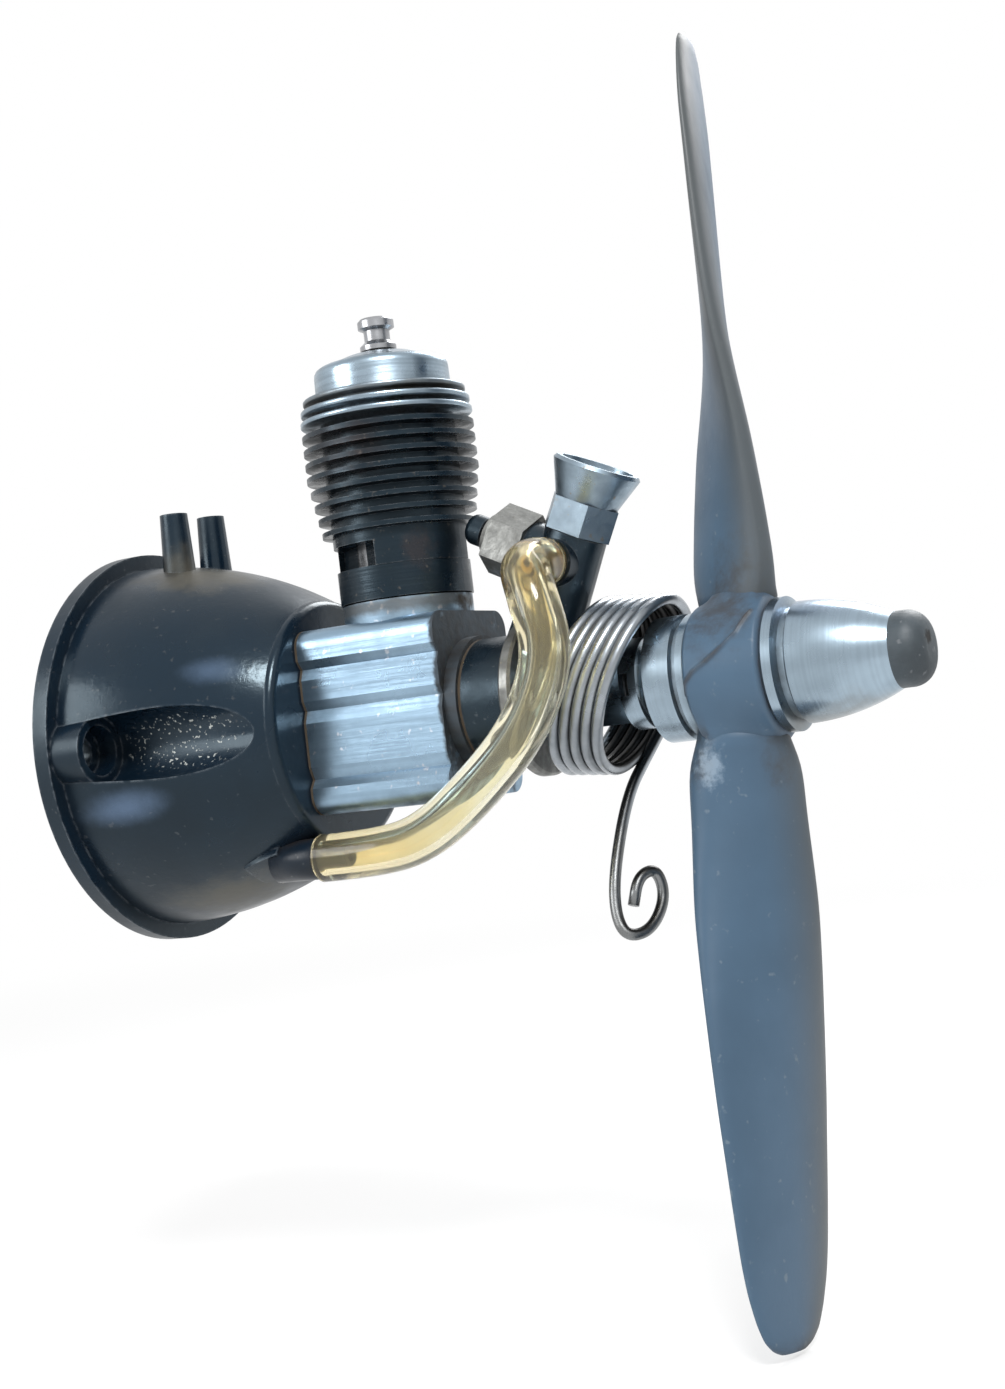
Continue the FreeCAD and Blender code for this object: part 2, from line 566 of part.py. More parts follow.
# Crankcase: an extruded fluted body, bored for chamber, cylinder, shaft and screws
flank = (
    ("case_half", "case_top - corner_round"),
    ("case_half", "lobe_top + 1"),
    ("case_waist", "lobe_top"),
    ("case_half - 0.25", "lobe_top - 1.2"),
    ("case_half - 0.25", "rib_split + 1.1"),
    ("case_waist", "rib_split"),
    ("case_half - 0.2", "rib_split - 1.4"),
    ("case_half - 0.2", "1.4 - lobe_bottom"),
    ("case_waist", "-lobe_bottom"),
    ("case_half", "-lobe_bottom - 1"),
)
section = [("corner_round - case_half", "case_top")]
section.append(("case_half - corner_round", "case_top"))
section.append(flank[0] + ("corner_round", -1))
section.extend(flank[1:])
section.append(("case_half", "corner_round - case_bottom"))
section.append(("case_half - corner_round", "-case_bottom", "corner_round", -1))
section.append(("corner_round - case_half", "-case_bottom"))
section.append(("-case_half", "corner_round - case_bottom", "corner_round", -1))
section.extend([("-(%s)" % y, z) for y, z in reversed(flank[1:])])
section.append(("-case_half", "case_top - corner_round"))
section[0] = section[0] + ("corner_round", -1)
case_body = padded("case_body", "YZ_Plane", section, "case_front - case_rear",
                   ("case_rear", "0", "0"))
chamber = padded("chamber", "YZ_Plane", (
    ("chamber_corner - chamber_half", "chamber_up", "chamber_corner", -1),
    ("chamber_half - chamber_corner", "chamber_up"),
    ("chamber_half", "chamber_up - chamber_corner", "chamber_corner", -1),
    ("chamber_half", "chamber_corner - chamber_down"),
    ("chamber_half - chamber_corner", "-chamber_down", "chamber_corner", -1),
    ("chamber_corner - chamber_half", "-chamber_down"),
    ("-chamber_half", "chamber_corner - chamber_down", "chamber_corner", -1),
    ("-chamber_half", "chamber_up - chamber_corner"),
), "chamber_front - chamber_rear", ("chamber_rear", "0", "0"))
chamber_mouth = along_x("chamber_mouth", "disc_radius", "chamber_rear - case_rear",
                        ("case_rear", "0", "0"))
boss = rod("boss", "boss_radius", "boss_top - case_bottom / 2",
           ("cylinder_station", "0", "case_bottom / 2"))
shoulder = along_x("shoulder", "nose_radius", "nose_front - case_front + tank_wall",
                   ("case_front - tank_wall", "0", "0"))
bearing = turned("bearing", (
    ("case_front - tank_wall", "0"),
    ("case_front - tank_wall", "bearing_radius"),
    ("bearing_step", "bearing_radius"),
    ("bearing_step + 0.8", "bearing_slim"),
    ("bearing_front", "bearing_slim"),
    ("bearing_front", "0"),
))
cylinder_bore = rod("cylinder_bore", "thread_radius + slip", "boss_top",
                    ("cylinder_station", "0", "chamber_up - tank_wall"))
shaft_hole = along_x("shaft_hole", "journal_radius + slip", "bearing_front",
                     ("chamber_front - tank_wall", "0", "0"))
inlet_port = rod("inlet_port", "throat_bore", "ring_radius", carb_spot("0", "0"), (0, 1, 0), "throat_lean")
keep(cut("crankcase", joined("case_solid", [case_body, boss, shoulder, bearing]),
         [chamber, chamber_mouth, cylinder_bore, shaft_hole, inlet_port] + case_holes))

# Paper gasket between tank and crankcase
gasket_body = padded("case_gasket_body", "YZ_Plane", section, "joint_thick", ("tank_length", "0", "0"))
keep(cut("case_gasket", gasket_body, [
    along_x("case_gasket_hole", "disc_radius", "joint_thick", ("tank_length", "0", "0"))] + [
    along_x("case_gasket_screw_%d" % number, "screw_radius + seat_gap", "joint_thick",
            ("tank_length", y_sign + "screw_side", z_sign + "screw_up"))
    for number, (y_sign, z_sign) in enumerate((("", ""), ("-", ""), ("", "-"), ("-", "-")))]))

# Cylinder: threaded skirt, collar, two exhaust windows and turned fins
FINS = 8
TAPERED = 4
barrel = [
    ("bore_radius", "skirt_bottom"),
    ("thread_radius", "skirt_bottom"),
    ("thread_radius", "boss_top + seat_gap"),
    ("collar_radius", "boss_top + seat_gap"),
    ("collar_radius", "collar_top"),
    ("barrel_radius", "collar_top"),
]
for fin in range(FINS):
    low = "fin_low + %d * fin_pitch" % fin
    lost = max(TAPERED - fin, 0)
    reach = "fin_radius - %d * fin_taper" % lost
    barrel.append(("barrel_radius", low))
    barrel.append((reach, low + " + 0.1"))
    barrel.append((reach, low + " + fin_thick - 0.1"))
    barrel.append(("barrel_radius", low + " + fin_thick"))
barrel.extend([
    ("barrel_radius", "barrel_top"),
    ("head_thread", "barrel_top"),
    ("head_thread", "head_seat"),
    ("bore_radius", "head_seat"),
])
cylinder_blank = turned("cylinder_blank", barrel, "V_Axis", ("cylinder_station", "0", "0"))
windows = []
for side, turn_by in (("near", "180 + window_turn"), ("far", "window_turn")):
    windows.append(block(
        "window_" + side, ("barrel_radius", "2 * window_half", "window_top - collar_top"),
        ("cylinder_station + window_flat * cos(%s) + window_half * sin(%s)" % (turn_by, turn_by),
         "window_flat * sin(%s) - window_half * cos(%s)" % (turn_by, turn_by), "collar_top"),
        (0, 0, 1), turn_by))
keep(cut("cylinder", cylinder_blank, windows))

# Head gasket, glow head, insulator, terminal and glow coil
head_low = "head_seat + head_washer"
keep(turned("head_gasket", (
    ("bore_radius + seat_gap", "head_seat"),
    ("head_thread - seat_gap", "head_seat"),
    ("head_thread - seat_gap", head_low),
    ("bore_radius + seat_gap", head_low),
), "V_Axis", ("cylinder_station", "0", "0")))
fin_one = "fin_low + %d * fin_pitch + 0.2" % FINS
fin_two = fin_one + " + fin_pitch"
keep(turned("glow_head", (
    ("seal_radius", "head_seat + head_washer + chamber_high"),
    ("chamber_bowl", head_low, "chamber_high + 0.3", -1),
    ("head_thread - slip", head_low),
    ("head_thread - slip", "barrel_top"),
    ("head_drum", "barrel_top"),
    ("head_drum", fin_one),
    ("fin_radius", fin_one + " + 0.1"),
    ("fin_radius", fin_one + " + head_fin_thick - 0.1"),
    ("head_drum", fin_one + " + head_fin_thick"),
    ("head_drum", fin_two),
    ("fin_radius", fin_two + " + 0.1"),
    ("fin_radius", fin_two + " + head_fin_thick - 0.1"),
    ("head_drum", fin_two + " + head_fin_thick"),
    ("head_drum", "head_drum_top - 0.5"),
    ("head_drum - 0.5", "head_drum_top"),
    ("head_dome", "head_dome_top", "4 * head_dome", 1),
    ("seal_radius", "head_dome_top"),
), "V_Axis", ("cylinder_station", "0", "0")))
keep(turned("glow_insulator", (
    ("post_stem + slip", "head_seat + head_washer + chamber_high"),
    ("seal_radius - slip", "head_seat + head_washer + chamber_high"),
    ("seal_radius - slip", "head_dome_top"),
    ("post_neck", "head_dome_top"),
    ("post_neck", "head_dome_top + 0.5"),
    ("post_stem + slip", "head_dome_top + 0.5"),
), "V_Axis", ("cylinder_station", "0", "0")))
post_low = "head_seat + head_washer + chamber_high - post_drop"
keep(turned("glow_post", (
    ("0", post_low),
    ("post_stem", post_low),
    ("post_stem", "head_dome_top + 0.5"),
    ("post_radius", "head_dome_top + 0.5"),
    ("post_radius", "head_dome_top + 0.5 + post_disc / 2"),
    ("post_neck", "head_dome_top + 0.5 + post_disc"),
    ("post_neck", "post_top - post_disc - 0.3"),
    ("post_radius", "post_top - post_disc"),
    ("post_radius", "post_top - 0.3"),
    ("post_radius - 0.3", "post_top"),
    ("0", "post_top"),
), "V_Axis", ("cylinder_station", "0", "0")))
coil_top = size(post_low)
coil = doc.addObject("Part::Feature", "glow_filament")
coil_helix = Part.makeHelix(size("coil_pitch"), size("coil_length"), size("coil_radius"))
coil_start = coil_helix.Edges[0].valueAt(coil_helix.Edges[0].FirstParameter)
coil_ring = Part.Wire([Part.Circle(coil_start, Vec(0, 1, 0.1), size("coil_wire")).toShape()])
coil_body = Part.Wire(coil_helix.Edges).makePipeShell([coil_ring], True, True)
coil.Shape = coil_body
coil.Placement = FreeCAD.Placement(Vec(size("cylinder_station"), 0, coil_top - size("coil_length + 1.2 * coil_wire")),
                                   FreeCAD.Rotation())
keep(coil)

# Piston with its ball socket retainer, at top dead centre
ball_level = "crank_throw + rod_length"
crown = "crank_throw + rod_length + ball_down"
keep(turned("piston", (
    ("0", crown),
    ("bore_radius - slip", crown),
    ("bore_radius - slip", crown + " - piston_length"),
    ("bore_radius - slip - piston_wall", crown + " - piston_length"),
    ("bore_radius - slip - piston_wall", ball_level + " - ball_radius"),
    ("ball_radius + 0.9", ball_level + " - ball_radius"),
    ("ball_radius + 0.9", ball_level + " - ball_radius / 2"),
    ("ball_radius + slip", ball_level),
    ("0", ball_level + " + ball_radius + slip", "ball_radius + slip", 1),
), "V_Axis", ("cylinder_station", "0", "0")))
keep(turned("ball_retainer", (
    ("ball_radius - 0.05", ball_level + " - ball_radius / 2 - retainer_thick"),
    ("ball_radius + 0.9 - slip", ball_level + " - ball_radius / 2 - retainer_thick"),
    ("ball_radius + 0.9 - slip", ball_level + " - ball_radius / 2 - 0.1"),
    ("ball_radius - 0.05", ball_level + " - ball_radius / 2 - 0.1"),
), "V_Axis", ("cylinder_station", "0", "0")))

# Connecting rod: ball end, slim shank and a bored big end
rod_ball = doc.addObject("Part::Sphere", "rod_ball")
bind(rod_ball, "Radius", "ball_radius")
place(rod_ball, ("cylinder_station", "0", ball_level))
rod_bar = rod("rod_bar", "rod_shank", "rod_length - rod_eye / 2",
              ("cylinder_station", "0", "crank_throw + rod_eye / 2"))
rod_end = along_x("rod_end", "rod_eye", "rod_thick", ("cylinder_station - rod_thick / 2", "0", "crank_throw"))
rod_hole = along_x("rod_hole", "pin_radius + slip", "rod_thick",
                   ("cylinder_station - rod_thick / 2", "0", "crank_throw"))
keep(cut("connecting_rod", joined("rod_solid", [rod_ball, rod_bar, rod_end]), [rod_hole]))

# Crankshaft: pin, disc, hollow journal with its inlet window, splined front end
shaft_blank = turned("shaft_blank", (
    ("disc_rear", "0"),
    ("disc_rear", "disc_radius"),
    ("disc_rear + disc_thick", "disc_radius"),
    ("disc_rear + disc_thick", "journal_radius"),
    ("bearing_front + 0.2", "journal_radius"),
    ("bearing_front + 0.2", "spigot_radius"),
    ("spigot_front", "spigot_radius"),
    ("spigot_front", "0"),
))
pin_rear = "cylinder_station + rod_thick / 2 + rod_gap"
crankpin = along_x("crankpin", "pin_radius", "disc_rear - cylinder_station - rod_thick / 2 - rod_gap",
                   (pin_rear, "0", "crank_throw"))
gas_passage = along_x("gas_passage", "shaft_bore", "throat_station + 4 - disc_rear", ("disc_rear", "0", "0"))
inlet_window = block("inlet_window", ("2 * throat_bore", "2 * throat_bore", "journal_radius"),
                     ("throat_station - throat_bore", "-throat_bore", "0"))
screw_hole = along_x("screw_hole", "screw_prop", "spigot_front", ("screw_prop_rear - 1", "0", "0"))
weight_cuts = []
for side, sign in (("port", "1"), ("starboard", "-1")):
    weight_cuts.append(block("weight_" + side, ("disc_thick / 2", "disc_radius", "disc_radius"),
                             ("disc_rear", "%s * (disc_radius / 2 + 2.2) - disc_radius / 2" % sign, "1.2")))
keep(cut("crankshaft", joined("shaft_solid", [shaft_blank, crankpin]),
         [gas_passage, inlet_window, screw_hole] + weight_cuts))

# Carburettor body: a moulded ring on the nose with a throat tower that leans forward
carb_rear = "nose_front + joint_thick"
carb_ring = along_x("carb_ring", "ring_radius", "ring_front - nose_front - joint_thick", (carb_rear, "0", "0"))
tower = rod("tower", "tower_root", "tower_top", carb_spot("0", "0"), (0, 1, 0), "throat_lean", "tower_radius")
valve_boss = rod("valve_boss", "valve_stub + tank_wall", "valve_near",
                 carb_spot("0", "needle_level"), (0, 1, 0), "throat_lean - 90")
jet_boss = rod("jet_boss", "jet_radius + tank_wall", "tower_radius + 1",
               carb_spot("0", "needle_level"), (1, 0, 0), "90")
ring_hole = along_x("ring_hole", "bearing_radius + slip", "ring_front", (carb_rear, "0", "0"))
throat = rod("throat", "throat_bore", "tower_top", carb_spot("0", "0"), (0, 1, 0), "throat_lean")
venturi_socket = rod("venturi_socket", "venturi_thread", "venturi_reach",
                     carb_spot("0", "tower_top - venturi_reach + 0.2"), (0, 1, 0), "throat_lean")
valve_socket = rod("valve_socket", "valve_stub", "valve_near",
                   carb_spot("0.3 - throat_bore", "needle_level"), (0, 1, 0), "throat_lean - 90")
jet_socket = rod("jet_socket", "jet_radius", "jet_tip", carb_spot("0", "needle_level", "-throat_bore - 0.2"),
                 (1, 0, 0), "90")
keep(cut("carburettor_body", joined("carb_solid", [carb_ring, tower, valve_boss, jet_boss]),
         [ring_hole, throat, venturi_socket, valve_socket, jet_socket]))
keep(cut("carburettor_gasket",
         along_x("carb_gasket_disc", "ring_radius", "joint_thick", ("nose_front", "0", "0")),
         [along_x("carb_gasket_hole", "bearing_radius + seat_gap", "joint_thick", ("nose_front", "0", "0"))]))

# Plate that holds the carburettor and anchors the spring, keyed by a notch to the throat
lock_disc = turned("lock_disc", (
    ("ring_front", "bearing_radius + slip"),
    ("ring_front", "lock_radius - 0.3"),
    ("ring_front + 0.3", "lock_radius"),
    ("ring_front + lock_thick - 0.3", "lock_radius"),
    ("ring_front + lock_thick", "lock_radius - 0.3"),
    ("ring_front + lock_thick", "bearing_radius + slip"),
))
anchor_hole = along_x("anchor_hole", "wire_radius + seat_gap", "lock_thick",
                      ("ring_front", "-anchor_out", "anchor_level"))
tower_notch = rod("tower_notch", "tower_root + seat_gap", "tower_top", carb_spot("0", "0"), (0, 1, 0),
                  "throat_lean", "tower_radius + seat_gap")
keep(cut("spring_plate", lock_disc, [anchor_hole, tower_notch]))

# Venturi: hexagon, flared mouth and threaded stub, bored through
venturi_shape = turned("venturi_shape", (
    ("throat_bore - 0.1", "tower_top - venturi_reach + 0.4"),
    ("venturi_thread - slip", "tower_top - venturi_reach + 0.4"),
    ("venturi_thread - slip", "tower_top + 0.1"),
    ("venturi_hex / 2", "tower_top + 0.1"),
    ("venturi_hex / 2", "venturi_hex_top"),
    ("venturi_mouth", "venturi_top - 0.4"),
    ("venturi_mouth - 0.3", "venturi_top"),
    ("venturi_mouth - 0.9", "venturi_top"),
    ("throat_bore - 0.1", "venturi_top - 4.4", "6", -1),
), "V_Axis", carb_spot("0", "0"), (0, 1, 0), "throat_lean")
venturi_nut = hexagon("venturi_nut", "venturi_hex", "venturi_hex_top - tower_top - 0.1",
                      carb_spot("0", "tower_top + 0.1"), (0, 1, 0), "throat_lean")
nut_bore = rod("nut_bore", "throat_bore + 0.4", "venturi_top", carb_spot("0", "tower_top"),
               (0, 1, 0), "throat_lean")
keep(joined("venturi", [venturi_shape, cut("venturi_sleeve", venturi_nut, [nut_bore])]))

# Needle valve body, perpendicular to the throat and pointing to the rear
valve_axis = (0, 1, 0)
valve_turn = "throat_lean - 90"
valve_parts = [
    hexagon("valve_hexagon", "valve_hex", "valve_far - valve_near", carb_spot("-valve_near", "needle_level"),
            valve_axis, valve_turn),
    rod("valve_stub_bar", "valve_stub - slip", "valve_near - throat_bore - 0.4",
        carb_spot("-throat_bore - 0.4", "needle_level"), valve_axis, valve_turn),
    rod("valve_collar_bar", "valve_collar", "valve_collar_end - valve_far",
        carb_spot("-valve_far", "needle_level"), valve_axis, valve_turn),
]
valve_bore = rod("valve_bore", "needle_radius + slip", "valve_collar_end",
                 carb_spot("0", "needle_level"), valve_axis, valve_turn)
keep(cut("needle_valve_body", joined("valve_solid", valve_parts), [valve_bore]))

# Fuel nipple on the carburettor, pointing to starboard
jet_parts = [
    rod("jet_bar", "jet_radius - slip", "jet_tip - throat_bore - 0.4",
        carb_spot("0", "needle_level", "-throat_bore - 0.4"), (1, 0, 0), "90"),
    rod("jet_collar", "jet_radius + 0.9", "0.8",
        carb_spot("0", "needle_level", "-tower_radius - 1.05"), (1, 0, 0), "90"),
]
jet_hole = rod("jet_hole", "jet_bore", "jet_tip", carb_spot("0", "needle_level"), (1, 0, 0), "90")
keep(cut("fuel_nipple", joined("jet_solid", jet_parts), [jet_hole]))

# Needle with its knob and click spring
keep(joined("needle", [
    rod("needle_bar", "needle_radius", "knob_near - valve_near + 0.6",
        carb_spot("-valve_near", "needle_level"), valve_axis, valve_turn),
    rod("needle_point", "0.1", "needle_tip", carb_spot("needle_tip - valve_near", "needle_level"),
        valve_axis, valve_turn, "needle_radius"),
]))
knob_blank = turned("knob_blank", (
    ("0", "knob_near"),
    ("knob_radius", "knob_near"),
    ("knob_radius", "knob_far - 0.9"),
    ("knob_radius - 0.9", "knob_far", "0.9", 1),
    ("0", "knob_far"),
), "V_Axis", carb_spot("0", "needle_level"), valve_axis, valve_turn)
knob_hole = rod("knob_hole", "needle_radius", "0.6 + slip", carb_spot("-knob_near", "needle_level"),
                valve_axis, valve_turn)
keep(cut("needle_knob", knob_blank, [knob_hole]))
click = doc.addObject("Part::Feature", "needle_click_spring")
click_radius = size("needle_radius + click_wire + 0.25")
click.Shape = Part.makeTorus(click_radius, size("click_wire"))
click_spot = carb_spot("-valve_collar_end - click_wire - 0.12", "needle_level")
click.Placement = FreeCAD.Placement(Vec(*[size(part) for part in click_spot]),
                                    FreeCAD.Rotation(Vec(0, 1, 0), size(valve_turn)))
keep(click)

# Fuel line from the tank's outlet round the crankcase to the carburettor's nipple
HOSE_ROUTE = (
    (27.0, -8.0, -15.1),
    (34.0, -8.0, -15.1),
    (41.5, -9.6, -13.9),
    (49.5, -11.5, -9.4),
    (57.4, -13.3, -3.4),
    (61.6, -14.1, 4.0),
    (60.2, -14.0, 10.6),
    (57.9, -10.6, 14.2),
    (57.9, -5.8, 14.2),
)


def rounded_route(points, share=0.45):
    """Straight runs joined by tangent arcs, each as large as its two runs allow."""
    spots = [Vec(*point) for point in points]
    edges = []
    start = spots[0]
    for before, corner_spot, after in zip(spots, spots[1:], spots[2:]):
        into = (corner_spot - before).normalize()
        away = (after - corner_spot).normalize()
        trim = share * min((corner_spot - before).Length, (after - corner_spot).Length)
        half = into.getAngle(away) / 2
        radius = trim / math.tan(half)
        enter = corner_spot - into * trim
        leave = corner_spot + away * trim
        centre = enter + (away - into * away.dot(into)).normalize() * radius
        middle = centre + (corner_spot - centre).normalize() * radius
        if (enter - start).Length > 1e-6:
            edges.append(Part.LineSegment(start, enter).toShape())
        edges.append(Part.Arc(enter, middle, leave).toShape())
        start = leave
    edges.append(Part.LineSegment(start, spots[-1]).toShape())
    return Part.Wire(edges)


# The hand-laid points stand for a tank of this length, and move with the pieces in front of it
LAID_TANK = 26.6
route_shift = Vec(size("tank_length") - LAID_TANK, 0, 0)
nipple_spot = [size(part) for part in carb_spot("0", "needle_level")]
route = [Vec(*spot) + route_shift for spot in HOSE_ROUTE]
route[0] = (size("outlet_reach - 4"), -size("outlet_side"), -size("outlet_down"))
route[1] = (route[1][0], route[0][1], route[0][2])
route[-2] = (nipple_spot[0], route[-2][1], nipple_spot[2])
route[-1] = (nipple_spot[0], -size("tower_radius + 2.1"), nipple_spot[2])
hose = doc.addObject("Part::Feature", "fuel_tube")
hose_path = rounded_route(route)
hose.Shape = pipe(hose_path, size("hose_radius"), size("hose_bore"))
keep(hose)

# Starter spring: close turns that lean forward, an anchored rear leg and a tail with an eye
SPRING_STEPS = 8
SPRING_TAIL = (
    (62.2, 5.4, -7.9),
    (60.8, 2.1, -11.9),
    (60.2, -2.2, -19.8),
    (60.4, -3.6, -24.4),
    (61.7, -4.0, -26.8),
    (63.6, -1.6, -26.4),
    (64.5, 0.9, -23.2),
    (63.8, 0.9, -20.0),
    (62.4, -1.0, -20.6),
    (62.0, -2.2, -23.6),
)


def spring_corners():
    """Corners that the wire rounds: the leg through the plate's hole, the leaning turns and the tail."""
    corner_radius = size("spring_radius") / math.cos(math.pi / SPRING_STEPS)
    lean = math.radians(size("spring_lean"))
    sag = math.radians(size("spring_sag"))
    across = Vec(math.sin(lean), 0, math.cos(lean))
    stack = Vec(math.cos(sag), 0, -math.sin(sag)) * size("spring_pitch")
    rear = Vec(size("spring_rear"), 0, size("spring_rise"))
    hole = Vec(size("ring_front + slip"), -size("anchor_out"), size("anchor_level"))
    bend = Vec(size("leg_reach"), -size("leg_out"), -size("leg_down"))
    corners = [hole, hole + Vec(size("leg_straight"), 0, 0), hole + bend]
    for step in range(int(size("spring_turns") * SPRING_STEPS) + 1):
        turned_by = math.radians(size("spring_start")) + 2 * math.pi * step / SPRING_STEPS
        corners.append(rear + stack * (step / SPRING_STEPS) + across * (corner_radius * math.cos(turned_by))
                       + Vec(0, corner_radius * math.sin(turned_by), 0))
    return corners + [Vec(*spot) + route_shift for spot in SPRING_TAIL]


def bent_wire(path, radius):
    """A round wire along straight runs and arcs: each run is an extruded ring, each arc a revolved one."""
    at = path.OrderedVertexes[0].Point
    heading = path.OrderedEdges[0].tangentAt(path.OrderedEdges[0].FirstParameter)
    ring = Part.Circle(at, heading, radius).toShape()
    skins = [Part.Face(Part.Wire([ring]))]
    for edge in path.OrderedEdges:
        first = edge.valueAt(edge.FirstParameter)
        last = edge.valueAt(edge.LastParameter)
        ahead = (first - at).Length < (last - at).Length
        end = last if ahead else first
        if isinstance(edge.Curve, Part.Line):
            skins.append(ring.extrude(end - at))
            ring = ring.translated(end - at)
        else:
            axis = edge.Curve.Axis if ahead else edge.Curve.Axis * -1
            sweep = math.degrees(edge.Length / edge.Curve.Radius)
            skins.append(ring.revolve(edge.Curve.Center, axis, sweep))
            ring = ring.rotated(edge.Curve.Center, axis, sweep)
        at = end
    skins.append(Part.Face(Part.Wire([ring])))
    shell = Part.makeShell(skins)
    shell.sewShape()
    wire_solid = Part.Solid(shell)
    return wire_solid if wire_solid.Volume > 0 else wire_solid.reversed()


spring = doc.addObject("Part::Feature", "starter_spring")
spring.Shape = bent_wire(rounded_route(spring_corners(), 0.49), size("wire_radius"))
keep(spring)

# Drive washer: notched skirt, flare with a groove, knurled face behind the propeller
driver_blank = turned("driver_blank", (
    ("driver_rear", "spigot_radius"),
    ("driver_rear", "driver_skirt"),
    ("driver_neck", "driver_skirt"),
    ("driver_neck + 1.6", "driver_radius", "2.4", 1),
    ("driver_front - 1.6", "driver_radius"),
    ("driver_front - 1.4", "driver_radius - driver_groove"),
    ("driver_front - 1.0", "driver_radius - driver_groove"),
    ("driver_front - 0.8", "driver_radius"),
    ("driver_front", "driver_radius"),
    ("driver_front", "spigot_radius"),
))
notch = block("notch", ("cam_deep", "4 * driver_skirt", "cam_width"),
              ("driver_rear", "-2 * driver_skirt", "-cam_width / 2"))
keep(cut("drive_washer", driver_blank, [notch]))

# Propeller: two lofted blades on a round hub
def blade_section(radius, chord, thick):
    """One blade section: two arcs between the leading and trailing edge."""
    twist = math.atan2(size("prop_pitch"), 2 * math.pi * max(radius, size("twist_radius")))
    across = Vec(math.sin(twist), -math.cos(twist), 0)
    face = Vec(math.cos(twist), math.sin(twist), 0)
    centre = Vec(0, 0, radius)
    front = centre + across * (chord * 0.5)
    rear = centre - across * (chord * 0.5)
    top = centre + face * (thick * 0.7)
    under = centre - face * (thick * 0.3)
    return Part.Wire([Part.Arc(front, top, rear).toShape(), Part.Arc(rear, under, front).toShape()])


def blade():
    """Loft a blade from hub to rounded tip; shares of the tip radius set its plan form."""
    tip = size("prop_radius")
    plan = ((0.06, 0.44), (0.12, 0.60), (0.19, 0.74), (0.30, 0.88), (0.42, 0.96), (0.58, 1.0),
            (0.74, 0.96), (0.88, 0.85), (0.96, 0.64), (1.0, 0.30))
    sections = []
    for share, width in plan:
        taper = max(1 - share / size("thin_share"), 0)
        thick = size("tip_thick") + (size("blade_thick") - size("tip_thick")) * taper
        sections.append(blade_section(share * tip, width * size("blade_chord"), thick))
    return Part.makeLoft(sections, True, False)


blades = []
for name, turn_by in (("blade_up", 0), ("blade_down", 180)):
    wing = doc.addObject("Part::Feature", name)
    wing.Shape = blade()
    wing.Placement = FreeCAD.Placement(
        Vec(size("prop_plane"), 0, 0), FreeCAD.Rotation(Vec(1, 0, 0), turn_by - size("prop_rest")))
    blades.append(wing)
hub = turned("hub", (
    ("driver_front", "0"),
    ("driver_front", "hub_radius - 0.5"),
    ("driver_front + 0.5", "hub_radius"),
    ("hub_front - 0.8", "hub_radius"),
    ("hub_front", "hub_radius - 0.8"),
    ("hub_front", "0"),
))
hub_space = along_x("hub_space", "screw_prop + seat_gap", "hub_front - driver_front + 10",
                    ("driver_front - 5", "0", "0"))
keep(cut("propeller", joined("propeller_solid", [hub] + blades), [hub_space]))

# Propeller screw, spinner and its rubber tip
keep(along_x("propeller_screw", "screw_prop", "screw_prop_front - screw_prop_rear", ("screw_prop_rear", "0", "0")))
spinner_blank = turned("spinner_blank", (
    ("hub_front", "0"),
    ("hub_front", "spinner_rim - 0.3"),
    ("hub_front + 0.3", "spinner_rim"),
    ("spinner_rim_front - 0.3", "spinner_rim"),
    ("spinner_rim_front", "spinner_neck"),
    ("spinner_cone_rear - 0.3", "spinner_neck"),
    ("spinner_cone_rear", "spinner_cone"),
    ("spinner_front", "spinner_nose", "spinner_curve", -1),
    ("spinner_front", "0"),
))
spinner_screw = along_x("spinner_screw", "screw_prop", "screw_prop_front - hub_front", ("hub_front", "0", "0"))
spinner_socket = along_x("spinner_socket", "tip_plug", "spinner_front - tip_plug_rear", ("tip_plug_rear", "0", "0"))
keep(cut("spinner", spinner_blank, [spinner_screw, spinner_socket]))
keep(turned("spinner_tip", (
    ("tip_plug_rear + 0.1", "0"),
    ("tip_plug_rear + 0.1", "tip_plug"),
    ("spinner_front", "tip_plug"),
    ("spinner_front", "spinner_nose"),
    ("tip_front - 2.3", "spinner_nose"),
    ("tip_front", "spinner_nose - 2.3", "2.3", -1),
    ("tip_front", "0"),
)))

doc.recompute()

# Every object has to be sound before anything is written
for obj in doc.Objects:
    if "Invalid" in obj.State or "Error" in obj.State:
        raise RuntimeError("%s did not build: %s" % (obj.Label, obj.State))
os.makedirs("parts", exist_ok=True)
for node in nodes:
    if node.Shape.isNull() or not node.Shape.isValid():
        raise RuntimeError("%s has no valid shape" % node.Label)
for node in nodes:
    print(node.Label, len(node.Shape.Solids), round(node.Shape.Volume, 2))
    node.Shape.exportStep("parts/%s.step" % node.Label)
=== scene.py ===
"""A worn model aircraft glow engine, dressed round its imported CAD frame.

The frame carries the solids. Each operator here makes one piece, or gives one group of solids its
finish. Sizes in the property groups are in metres and colours are linear.
"""

import math

